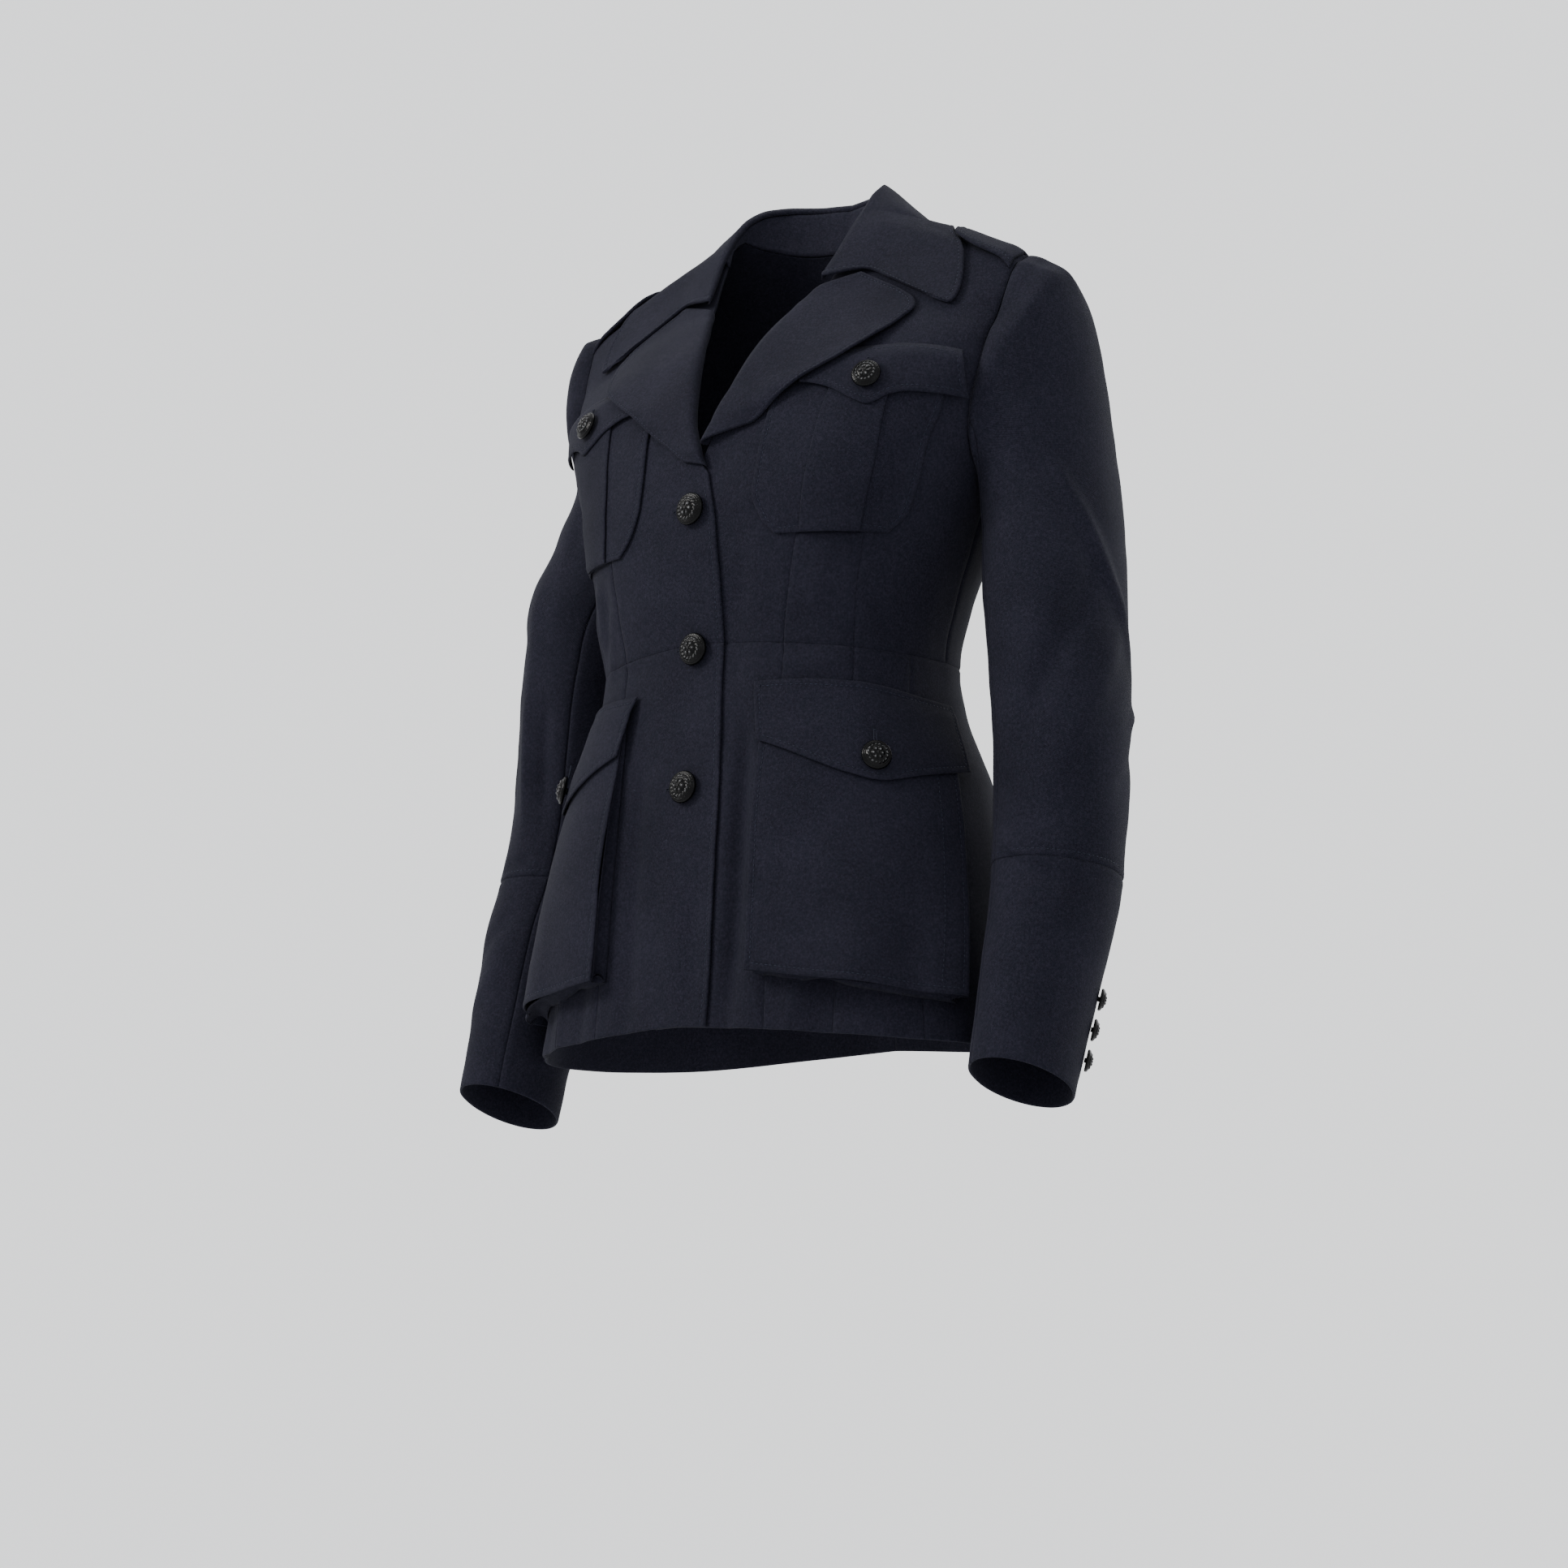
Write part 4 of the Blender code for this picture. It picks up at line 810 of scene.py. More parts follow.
# Waves of the cloth's unevenness: size, height and seed of each
UNEVENNESS = ((95, 0.55, 3), (42, 0.22, 8), (17, 0.07, 15))
WAVES = 6


class Fold:
    """One crease as a line in space, with its width and height."""

    def __init__(self, surface, side, start, middle, end, width, height):
        t = np.linspace(0, 1, CREASE_STEPS)[:, None]
        start, middle, end = (np.array(place, float) for place in (start, middle, end))
        pull = 2 * middle - (start + end) / 2
        own = start * (1 - t) ** 2 + pull * 2 * t * (1 - t) + end * t ** 2
        self.width, self.height = width, height
        if surface == "front":
            self.line = on_front(*own.T, np.zeros(len(own)), side)
        elif surface == "back":
            level = level_at(*own.T)
            self.line = body_point(level, back_turn(level, own[:, 0])) * mirror_of(side)
        else:
            hole = armhole_ring(FINE_UPPER)
            points = [sleeve_point(ring, np.array([angle % 360]), *hole, side)[0] for ring, angle in own]
            self.line = np.array(points) * mirror_of(side)

    def lift(self, points):
        """How far the crease moves the cloth out at these points."""
        reach = CREASE_REACH * self.width
        low, high = self.line.min(axis=0) - reach, self.line.max(axis=0) + reach
        near = np.all((points > low) & (points < high), axis=-1)
        lift = np.zeros(points.shape[:-1])
        if not near.any():
            return lift
        place = points[near]
        best = np.full(len(place), 1e9)
        along = np.zeros(len(place))
        for number, (a, b) in enumerate(zip(self.line[:-1], self.line[1:])):
            run = b - a
            t = np.clip((place - a) @ run / max(float(run @ run), 1e-9), 0, 1)
            away = np.linalg.norm(place - a - t[:, None] * run, axis=1)
            closer = away < best
            best = np.where(closer, away, best)
            along = np.where(closer, (number + t) / (len(self.line) - 1), along)
        fade = smooth_step(0, CREASE_FADE, along) * (1 - smooth_step(1 - CREASE_FADE, 1, along))
        across = np.exp(-((best / self.width) ** 2))
        lift[near] = self.height * across * (0.25 + 0.75 * fade) * fade ** 0.3
        return lift


def unevenness(points):
    """The cloth's gentle unevenness, as a sum of waves with fixed random directions."""
    total = np.zeros(points.shape[:-1])
    for size, height, seed in UNEVENNESS:
        draw = np.random.default_rng(seed)
        for _ in range(WAVES):
            way = unit(draw.normal(size=3))
            phase = draw.uniform(0, 2 * math.pi)
            length = size * draw.uniform(0.7, 1.5)
            total = total + height / 2.4 * np.sin(points @ way * 2 * math.pi / length + phase)
    return total


def fine_between(stops, steps):
    """The stops, and between each pair of them as many more as the step for that pair asks."""
    parts = [np.linspace(a, b, max(1, round(abs(b - a) / step)) + 1)[:-1]
             for a, b, step in zip(stops[:-1], stops[1:], steps)]
    return np.concatenate([*parts, stops[-1:]])


# Levels of the upper body: the stops, and the spacing in each stretch between two of them
FINE_STOPS = (WAIST, POCKET_SEAM_TOP, BREAK, -200, -29, 12, SHOULDER)
FINE_STEPS = (3.5, 3.5, 1.3, 3.5, 1.4, 0.8)
FINE_UPPER = fine_between(FINE_STOPS, FINE_STEPS)

# Distances of the grid lines next to an edge: f is a free edge with stitching, e a free edge without,
# s a seam, t a seam with stitching beside it, and - an end that nothing marks
NEAR_EDGE = {
    "f": (0, 0.3, 0.8, 1.6, 2.8, EDGE_STITCH - 0.9, EDGE_STITCH, EDGE_STITCH + 0.9, EDGE_STITCH + 2.6),
    "e": (0, 0.3, 0.8, 1.6, 3.0),
    "s": (0, 0.7, 1.6, 3.2),
    "t": (0, 0.7, 1.6, 3.2, EDGE_STITCH, EDGE_STITCH + 1.2),
    "-": (0,),
}


def eased(width, ends, step=FINE):
    """Shares from 0 to 1 across a width, close together near the two ends."""
    start, end = (np.array(NEAR_EDGE[code]) for code in ends)
    squeeze = min(1.0, width * 0.8 / (start[-1] + end[-1] + 1e-9))
    start, end = start * squeeze, width - end[::-1] * squeeze
    count = max(2, round((end[0] - start[-1]) / step))
    return np.concatenate([start, np.linspace(start[-1], end[0], count + 1)[1:-1], end]) / width


def spread(stops, shares):
    """A row's turns: between each pair of stops, at the shares given for that pair."""
    parts = [a + (b - a) * share[:-1] for a, b, share in zip(stops[:-1], stops[1:], shares)]
    return np.concatenate([*parts, stops[-1:]])


def edge_distances(points):
    """Distances along the cloth from the first and last row and the first and last column."""
    down = np.linalg.norm(np.diff(points, axis=0), axis=-1)
    across = np.linalg.norm(np.diff(points, axis=1), axis=-1)
    from_first = np.concatenate([np.zeros((1, points.shape[1])), np.cumsum(down, axis=0)])
    from_left = np.concatenate([np.zeros((points.shape[0], 1)), np.cumsum(across, axis=1)], axis=1)
    return from_first, from_first[-1] - from_first, from_left, from_left[:, -1:] - from_left


# Edges and seams: the rounding of an edge, the groove that stitching pulls, the puff of the cloth
# between it and the edge, and the groove of a seam with the puff beside it
ROUND_RADIUS = 1.5
ROUND_SHARE = 0.42
GROOVE_DEPTH = 0.34
GROOVE_WIDTH = 0.75
PILLOW = 0.22
SEAM_DEPTH = 0.5
SEAM_WIDTH = 1.1
SEAM_PUFF = 0.25
PUFF_AT = 4.5
PUFF_WIDTH = 2.6
# The sewn line along the bellows pocket, from its outer edge, and its stitches beside it
LINE_DEPTH = 0.8
POCKET_LINE = 18.0
LINE_STITCH = 1.8
# How far stitching stops from a seam
STITCH_TRIM = 1.5
# How near a cut-out's edge its distance is worked out, and the distance given elsewhere
NEAR_CUT = 8
FAR = 1e3

# Lines of stitching that the sheets leave, by group
STITCH_LINES = {}


def edge_profile(distance, code, thickness, along):
    """How far the outer face sinks, and the inner face rises, at a distance from an edge of this kind."""
    sink = np.zeros_like(distance)
    rise = np.zeros_like(distance)
    if code in "fe":
        t = np.clip(1 - distance / ROUND_RADIUS, 0, 1)
        sink = ROUND_SHARE * thickness * (1 - np.sqrt(np.maximum(1 - t * t, 0)))
        rise = sink.copy()
    if code in "ft":
        sink = sink + GROOVE_DEPTH * np.exp(-(((distance - EDGE_STITCH) / GROOVE_WIDTH) ** 2))
        middle = np.clip(distance / EDGE_STITCH, 0, 1)
        pucker = 1 + 0.5 * np.sin(along * 2 * math.pi / 13) * np.sin(along * 2 * math.pi / 31 + 1)
        sink = sink - PILLOW * 4 * middle * (1 - middle) * pucker
    if code in "st":
        pucker = 1 + 0.35 * np.sin(along * 2 * math.pi / 17 + 2) * np.sin(along * 2 * math.pi / 47)
        sink = sink + SEAM_DEPTH * np.exp(-((distance / SEAM_WIDTH) ** 2))
        sink = sink - SEAM_PUFF * pucker * np.exp(-(((distance - PUFF_AT) / PUFF_WIDTH) ** 2))
    return sink, rise


def line_at(points, normals, distances, wanted, axis, trims):
    """The line on the cloth at a distance from the edge at the start of an axis, and its normals."""
    if axis == 1:
        points, normals, distances = (np.swapaxes(a, 0, 1) for a in (points, normals, distances))
    line, ways = [], []
    for column in range(points.shape[1]):
        reach = distances[:, column]
        order = np.argsort(reach)
        if reach.max() < wanted:
            continue
        line.append([np.interp(wanted, reach[order], points[order, column, k]) for k in range(3)])
        ways.append([np.interp(wanted, reach[order], normals[order, column, k]) for k in range(3)])
    line, ways = np.array(line), np.array(ways)
    reach = reach_along(line)
    keep = (reach >= trims[0]) & (reach <= reach[-1] - trims[1])
    return line[keep], ways[keep]


def new_piece(name, points, faces):
    """A smooth mesh of these points, in millimetres, as an object of the scene on the jacket's body."""
    mesh = bpy.data.meshes.new(name)
    mesh.from_pydata((points * MM).tolist(), [], faces)
    mesh.update()
    mesh.shade_smooth()
    piece = bpy.data.objects.new(name, mesh)
    bpy.context.scene.collection.objects.link(piece)
    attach(piece, "root")
    return piece


class Sheet:
    """One piece of cloth, from the points of its two faces to its mesh."""

    def __init__(self, name, outer, inner, sides, cloth, used=None, sways=True, creased=True, group=None,
                 edge_rows=None, line=None):
        self.name = name
        outer, inner = np.array(outer), np.array(inner)
        normal = unit(outer - inner)
        if creased:
            lift = sum(fold.lift(outer) for fold in FOLDS) + unevenness(outer)
            outer, inner = outer + normal * lift[..., None], inner + normal * lift[..., None]
        distances = edge_distances(outer)
        along = (distances[2], distances[2], distances[0], distances[0])
        sink = np.zeros(outer.shape[:2])
        rise = np.zeros(outer.shape[:2])
        for number, (code, distance, run) in enumerate(zip(sides, distances, along)):
            if code == "-":
                continue
            down, up = edge_profile(distance, code, cloth, run)
            weight = edge_rows if edge_rows is not None and number == 2 else 1.0
            sink = np.where(np.abs(down) > np.abs(sink), down * weight, sink)
            rise = np.maximum(rise, up * weight)
        if line is not None:
            sink = sink + LINE_DEPTH * np.exp(-(((distances[3] - line) / GROOVE_WIDTH) ** 2))
            trims = (STITCH_TRIM, EDGE_STITCH)
            drawn, way = line_at(outer, normal, distances[3], line + LINE_STITCH, 1, trims)
            STITCH_LINES.setdefault(group, []).append((swayed(drawn), way))
        if used is not None:
            seam = self.cut_distance(outer, used)
            sink = sink + edge_profile(seam, "s", cloth, distances[0])[0]
        outer, inner = outer - normal * sink[..., None], inner + normal * rise[..., None]
        for number, (code, distance) in enumerate(zip(sides, distances)):
            if code in "ft" and group:
                axis = number // 2
                others = sides[2:] if axis == 0 else sides[:2]
                trims = [EDGE_STITCH if other == "f" else STITCH_TRIM for other in others]
                rows = slice(None) if edge_rows is None or number != 2 else edge_rows[:, 0] > 0.5
                line, way = line_at(outer[rows], normal[rows], distance[rows], EDGE_STITCH, axis, trims)
                STITCH_LINES.setdefault(group, []).append((swayed(line) if sways else line, way))
        self.flat = (float(distances[3][:, 0].max()) * MM, float(distances[1][0].max()) * MM)
        if sways:
            outer, inner = swayed(outer), swayed(inner)
        self.make(outer, inner, used, distances)

    @staticmethod
    def cut_distance(points, used):
        """Distance of each point from the edge of the used cells inside the grid, where it is near."""
        inside = np.zeros(points.shape[:2], int)
        for r in (0, 1):
            for c in (0, 1):
                inside[r:r + used.shape[0], c:c + used.shape[1]] += used
        full = np.full(points.shape[:2], 4)
        full[0], full[-1] = 2, 2
        full[:, 0], full[:, -1] = full[:, 0] // 2, full[:, -1] // 2
        edge = (inside > 0) & (inside < full)
        border = points[edge]
        result = np.full(points.shape[:2], FAR)
        low, high = border.min(axis=0) - NEAR_CUT, border.max(axis=0) + NEAR_CUT
        near = np.all((points > low) & (points < high), axis=-1)
        places = points[near]
        closest = np.full(len(places), FAR)
        for start in range(0, len(border), 40):
            gap = np.linalg.norm(places[:, None] - border[None, start:start + 40], axis=-1).min(axis=1)
            closest = np.minimum(closest, gap)
        result[near] = closest
        return result

    def make(self, outer, inner, used, distances):
        """The closed mesh of both faces and the walls round them, with the cloth laid out as its UV map."""
        rows, columns = outer.shape[0] - 1, outer.shape[1] - 1
        if used is None:
            used = np.ones((rows, columns), bool)
        count = outer.shape[0] * outer.shape[1]
        number = np.arange(count).reshape(outer.shape[:2])
        cells = np.nonzero(used)
        corners = ((0, 0), (0, 1), (1, 1), (1, 0))
        quads = np.stack([number[cells[0] + r, cells[1] + c] for r, c in corners], -1)
        edges = {}
        for quad in quads.tolist():
            for a, b in zip(quad, quad[1:] + quad[:1]):
                if (b, a) in edges:
                    del edges[(b, a)]
                else:
                    edges[(a, b)] = True
        walls = np.array([[b, a, a + count, b + count] for a, b in edges])
        faces = np.concatenate([quads, quads[:, ::-1] + count, walls])
        points = np.concatenate([outer.reshape(-1, 3), inner.reshape(-1, 3)])
        live = np.unique(faces)
        new = np.full(len(points), -1)
        new[live] = np.arange(len(live))
        points, faces = points[live], new[faces]
        corner = outer[:-1, :-1]
        facing = np.cross(outer[1:, :-1] - corner, outer[:-1, 1:] - corner)
        if np.sum(facing * (outer - inner)[:-1, :-1]) > 0:
            faces = faces[:, ::-1]
        self.piece = new_piece(self.name, points, faces.tolist())
        mesh = self.piece.data
        layer = mesh.uv_layers.new(name="cloth")
        plan = np.stack([distances[2] - distances[2].mean(), distances[0]], -1).reshape(-1, 2) * MM
        plan = np.concatenate([plan, plan])[live]
        loops = np.zeros(len(mesh.loops), int)
        mesh.loops.foreach_get("vertex_index", loops)
        layer.data.foreach_set("uv", plan[loops].ravel())
        self.area = min(sum(face.area for face in mesh.polygons) / 2, self.flat[0] * self.flat[1])


def place_sheet(sheet, material):
    """Puts the material on a sheet, and hides the solid part that it stands for."""
    piece = sheet.piece
    piece.data.materials.append(material)
    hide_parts(sheet.name.removeprefix("fine_"))


FOLDS = []


# Rough widths of the panels, which set how many columns each has
FRONT_UPPER_WIDTHS = (88, 36, 120)
FRONT_LOWER_WIDTHS = (96, 44, 40)
BACK_UPPER_WIDTHS = (90, 80)
BACK_LOWER_WIDTHS = (110, 130)


def half_front(levels, side):
    """The grid of one half of the front, with the columns of its seams."""
    if levels[-1] > WAIST:
        stops = [front_stops(level, side) for level in levels]
        widths = FRONT_UPPER_WIDTHS
    else:
        stops = []
        for level in levels:
            edge = -float(FRONT_EDGE("under" if side > 0 else "over", level))
            x = [edge, *(float(SEAMS(seam, level)) for seam in ("front_a", "front_b", "front_c"))]
            stops.append(turn_at(level, np.array(x)))
        widths = FRONT_LOWER_WIDTHS
    shares = [eased(width, end) for width, end in zip(widths, ("fs", "ss", "ss"))]
    turns = [spread(stop, shares) for stop in stops]
    outer, inner = body_wall(levels, turns, side, underlap if side > 0 else None)
    return outer, inner, np.cumsum([0, *(len(share) - 1 for share in shares)])


def edge_levels(levels, low_code, high_code, scale=1.0):
    """The levels, with the lines next to an edge put in at both ends."""
    low, high = levels[0], levels[-1]
    start = low + np.array(NEAR_EDGE[low_code]) * scale
    end = high - np.array(NEAR_EDGE[high_code])[::-1] * scale
    middle = [level for level in levels if start[-1] + 1.5 < level < end[0] - 1.5]
    return np.concatenate([start, middle, end])


def upper_levels():
    """The levels of the upper body, with lines close together at the waist and the strap panel's top."""
    near = np.array(NEAR_EDGE["s"])
    extra = np.concatenate([near + WAIST, POCKET_SEAM_TOP + near, POCKET_SEAM_TOP - near[1:]])
    kept = [level for level in FINE_UPPER if np.abs(extra - level).min() > 1.2]
    return np.unique(np.concatenate([kept, extra, [SHOULDER]]))


def make_fronts(cloth):
    """The upper fronts with their strap panels, and the three front panels of each skirt side."""
    levels = upper_levels()
    for side, name in SIDES:
        outer, inner, seams = half_front(levels, side)
        used = np.ones((outer.shape[0] - 1, outer.shape[1] - 1), bool)
        strap = np.zeros_like(used)
        below = levels[:-1] < POCKET_SEAM_TOP - 0.01
        strap[below, seams[1]:seams[2]] = True
        edge_rows = (1 - smooth_step(BREAK - 6, BREAK, levels))[:, None]
        sheet = Sheet(f"fine_front_upper_{name}", outer, inner, "stfs", BODY_CLOTH, used & ~strap,
                      group="front", edge_rows=edge_rows)
        place_sheet(sheet, cloth)
        rows = slice(0, int(below.sum()) + 1)
        part = rows, slice(seams[1], seams[2] + 1)
        sheet = Sheet(f"fine_front_strap_upper_{name}", outer[part], inner[part], "ssss", BODY_CLOTH)
        place_sheet(sheet, cloth)
    levels = edge_levels(fine_between((HEM, WAIST), (FINE,)), "e", "s")
    names = ("front_skirt", "front_strap_lower", "side_front_skirt")
    for side, name in SIDES:
        outer, inner, seams = half_front(levels, side)
        for piece, start, end, code in zip(names, seams[:-1], seams[1:], ("f", "s", "s")):
            part = slice(None), slice(start, end + 1)
            sheet = Sheet(f"fine_{piece}_{name}", outer[part], inner[part], f"es{code}s", BODY_CLOTH,
                          group="front")
            place_sheet(sheet, cloth)


def make_backs(cloth):
    """The upper backs, and the side and back panels of the skirt."""
    upper = upper_levels()
    from_seam = np.abs(upper - POCKET_SEAM_TOP)
    upper = upper[(from_seam > 4) | (from_seam == 0)]
    lower = edge_levels(fine_between((HEM, WAIST), (FINE,)), "e", "s")
    for side, name in SIDES:
        shares = [eased(width, "ss") for width in BACK_UPPER_WIDTHS]
        turns = []
        for level in upper:
            outer_turn = float(ARMHOLE("back", level)) if level >= UNDERARM else SIDE_SEAM_TURN
            princess = float(back_turn(level, SEAMS("back_princess", level)))
            neck = float(BACK_NECK("x", level)) if level > BACK_NECK_LEVEL else 0.0
            centre = float(back_turn(level, neck)) if neck > 0 else 180.0
            turns.append(spread(np.array([outer_turn, princess, centre]), shares))
        outer, inner = body_wall(upper, turns, side)
        middle = len(shares[0])
        pieces = ("back_side_upper", slice(0, middle)), ("back_centre_upper", slice(middle - 1, None))
        for piece, part in pieces:
            sheet = Sheet(f"fine_{piece}_{name}", outer[:, part], inner[:, part], "ssss", BODY_CLOTH)
            place_sheet(sheet, cloth)
        shares = [eased(width, "ss") for width in BACK_LOWER_WIDTHS]
        turns = []
        for level in lower:
            front = float(turn_at(level, SEAMS("front_c", level)))
            turns.append(spread(np.array([front, float(SEAMS("side_back", level)), 180.0]), shares))
        outer, inner = body_wall(lower, turns, side)
        middle = len(shares[0])
        for piece, part in (("side_skirt", slice(0, middle)), ("back_skirt", slice(middle - 1, None))):
            sheet = Sheet(f"fine_{piece}_{name}", outer[:, part], inner[:, part], "esss", BODY_CLOTH)
            place_sheet(sheet, cloth)


# Fine rings of the sleeve: next to the armhole, the elbow seam and the cuff, and the steps between
NEAR_ARMHOLE = np.array([0, 0.06, 0.14, 0.26, 0.4])
NEAR_ELBOW = np.array([-0.12, -0.1, -0.077, -0.05, -0.025, 0, 0.02, 0.05, 0.09])
NEAR_CUFF = np.array([14.92, 14.96, 14.98, 14.992, 15])
UPPER_RING_STEP = 0.085
LOWER_RING_STEP = 0.09


def sleeve_faces(side):
    """Both faces of a whole sleeve, its rings and the angles of its columns."""
    hole, hole_angle = armhole_ring(FINE_UPPER)
    rings = np.concatenate([
        NEAR_ARMHOLE, np.arange(0.5, ELBOW_RING - 0.15, UPPER_RING_STEP), ELBOW_RING + NEAR_ELBOW,
        np.arange(ELBOW_RING + 0.17, 14.85, LOWER_RING_STEP), NEAR_CUFF,
    ])
    surface = np.array([sleeve_point(ring, hole_angle, hole, hole_angle, side) for ring in rings])
    surface[..., 0] += ARMHOLE_SHIFT * np.maximum(0, 1 - rings / 0.5)[:, None]
    closed = np.concatenate([surface, surface[:, :1]], axis=1)
    wide = np.concatenate([closed[:, -2:-1], closed, closed[:, 1:2]], axis=1)
    centre = surface.mean(axis=1)[:, None]
    normal = grid_normals(wide, wide - centre)[:, 1:-1]
    inner = thick(closed, normal, SLEEVE_CLOTH)
    angles = np.concatenate([hole_angle, [hole_angle[0] + 360]])
    return closed * mirror_of(side), inner * mirror_of(side), rings, angles


def make_sleeves(cloth):
    """Top and under sleeve of each arm, above and below the elbow seam."""
    rough_angles = np.concatenate([armhole_ring(UPPER_LEVELS)[1], [360.0]])
    seam_angles = [rough_angles[np.argmin(np.abs(rough_angles - angle))] for angle in
                   (UNDER_SEAM_ANGLE, BACK_SEAM_ANGLE)]
    for side, name in SIDES:
        outer, inner, rings, angles = sleeve_faces(side)
        under_start, under_end = (int(np.argmin(np.abs(angles - angle))) for angle in seam_angles)
        elbow = int(np.argmin(np.abs(rings - ELBOW_RING)))
        over = list(range(under_end, len(angles))) + list(range(1, under_start + 1))
        under = list(range(under_start, under_end + 1))
        for half, columns in (("top", over), ("under", under)):
            for stretch, part, codes in (("upper", slice(0, elbow + 1), "stss"),
                                         ("lower", slice(elbow, None), "sess")):
                sheet = Sheet(f"fine_sleeve_{half}_{stretch}_{name}", outer[part][:, columns],
                              inner[part][:, columns], codes, SLEEVE_CLOTH, sways=False, group="sleeves")
                place_sheet(sheet, cloth)


def smooth_path(path, shares):
    """Points at these shares of the length of a smooth curve through the path."""
    path = np.array(path)
    ends = np.concatenate([[2 * path[0] - path[1]], path, [2 * path[-1] - path[-2]]])
    t = np.linspace(0, 1, 9)[:-1, None]
    parts = []
    for k in range(1, len(ends) - 2):
        a, b, c, d = ends[k - 1:k + 3]
        parts.append(0.5 * (2 * b + (c - a) * t + (2 * a - 5 * b + 4 * c - d) * t ** 2
                            + (3 * b - a - 3 * c + d) * t ** 3))
    line = np.concatenate([*parts, path[-1:]])
    reach = reach_along(line)
    at = np.asarray(shares) * reach[-1]
    return np.stack([np.interp(at, reach, line[:, k]) for k in range(line.shape[1])], -1)


# Rough sizes of the lapel and the collar, the spacing of their grids, and the collar's last place
LAPEL_LONG = 190
LAPEL_WIDE = 85
COLLAR_LONG = 235
COLLAR_WIDE = 95
ROLL_STEP = 3.0
COLLAR_END = 8
STAND_TOP = (1.75, 4.6)
LEAF_FREE_SHARE = 0.22


def make_lapels(cloth):
    """Each lapel, row by row up its roll line."""
    for side, name, first in ((-1, "right", LAPEL_ROWS[0]), (1, "left", LEFT_LAPEL_START)):
        rows = first + (LAPEL_ROWS[-1] - first) * eased(LAPEL_LONG, "es", 3.2)
        shares = eased(LAPEL_WIDE, "-f", ROLL_STEP)
        faces = ([], [])
        for row in rows:
            start = roll_point(row)
            end = np.array([float(LAPEL("edge_x", row)), float(LAPEL("edge_z", row))])
            ends = on_front(*np.array([start, end]).T, np.zeros(2), 1)
            width = float(np.linalg.norm(ends[1] - ends[0]))
            path = smooth_path(lapel_path(width, float(LAPEL("edge_lift", row))), shares)
            for face, line in zip(faces, crosswise(path, LAPEL_CLOTH)):
                place = start + (end - start) * (line[:, :1] / width)
                face.append(on_front(place[:, 0], place[:, 1], line[:, 1], side))
        sheet = Sheet(f"fine_lapel_{name}", faces[0], faces[1], "es-f", LAPEL_CLOTH, group="collar")
        place_sheet(sheet, cloth)


def make_collar(cloth):
    """The collar's leaf and stand, made for the left half and mirrored."""
    seam, seam_normal, seam_in, seam_share = neck_seam()
    foot_line = seam + seam_in * (LAPEL_CLOTH / 2 + SEAM_GAP) - seam_normal * BODY_CLOTH / 2
    up = np.array([0, 0, 1.0])
    half = LAPEL_CLOTH / 2
    leaf, stand = [], []
    places = COLLAR_END * eased(COLLAR_LONG, "-f", ROLL_STEP)
    for place in places:
        roll = np.array([float(COLLAR(f"roll_{axis}", place)) for axis in "xyz"])
        edge = np.array([float(COLLAR(f"edge_{axis}", place)) for axis in "xyz"])
        out = edge - roll
        level_out = unit(out * np.array([1, 1, 0]))
        line = [roll + level_out * far + up * high for far, high in COLLAR_CURL]
        across = unit(np.cross(np.cross(out, up), out))
        bend = float(COLLAR("bend", place))
        laid = smooth_step(4, 6, place)
        for share in LEAF_SHARES:
            tent = min(share / NOTCH_SHARE, (1 - share) / (1 - NOTCH_SHARE))
            point = roll + level_out * 2 * (1 - share) + out * share + up * bend * tent
            point = point + across * LEAF_BULGE * math.sin(math.pi * min(share, 1)) * (1 - laid)
            on_it = on_front(np.array(point[0]), np.array(point[2]), np.array(LEAF_LIFT), 1)
            point = point + (on_it - point) * laid * smooth_step(0, 0.45, share)
            line.append(point)
        leaf.append(smooth_path(line, eased(COLLAR_WIDE, "-f", ROLL_STEP)))
        if place <= STAND_END:
            neck = COLLAR("neck", place)
            foot = np.array([np.interp(neck, seam_share, foot_line[:, axis]) for axis in range(3)])
            top = roll - level_out * STAND_TOP[0] - up * STAND_TOP[1]
            stand.append(top + (foot - top) * np.linspace(0, 1, 12)[:, None])
    leaf, stand = np.array(leaf), np.array(stand)
    floor = shoulder_height(leaf[..., 0], leaf[..., 1]) + LEAF_CLEAR + half
    share = np.linspace(0, 1, leaf.shape[1])[None]
    leaf[..., 2] = np.where(share > LEAF_FREE_SHARE, np.maximum(leaf[..., 2], floor), leaf[..., 2])
    for name, grid, middle, sides, group, rests_on in (
            ("leaf", leaf, (0, 10, -60.0), "ff-f", "collar", "fine_collar_stand"),
            ("stand", stand, (0, 10, 0.0), "----", None, "fine_back_centre_upper_left")):
        grid = np.concatenate([grid[:0:-1] * mirror_of(-1), grid])
        normal = grid_normals(grid, grid - np.array(middle))
        sheet = Sheet(f"fine_collar_{name}", grid + normal * half, grid - normal * half, sides, LAPEL_CLOTH,
                      group=group)
        place_sheet(sheet, cloth)


def front_patch(name, x, z, lift, side, sides, cloth):
    """A sheet of a chest pocket, laid on the front."""
    lift = np.broadcast_to(lift, x.shape)
    faces = [on_front(x, z, lift - depth, side) for depth in (0, POCKET_CLOTH)]
    sheet = Sheet(name, *faces, sides, POCKET_CLOTH, group="pockets")
    place_sheet(sheet, cloth)


def hip_patch(name, place, side, sides, cloth, line=None):
    """A sheet of a bellows pocket, from its distance round the body, level and lift."""
    girth, level, lift = place
    faces = [at_girth(girth, level, lift - depth, side) for depth in (0, POCKET_CLOTH)]
    sheet = Sheet(name, *faces, sides, POCKET_CLOTH, group="pockets", line=line)
    place_sheet(sheet, cloth)


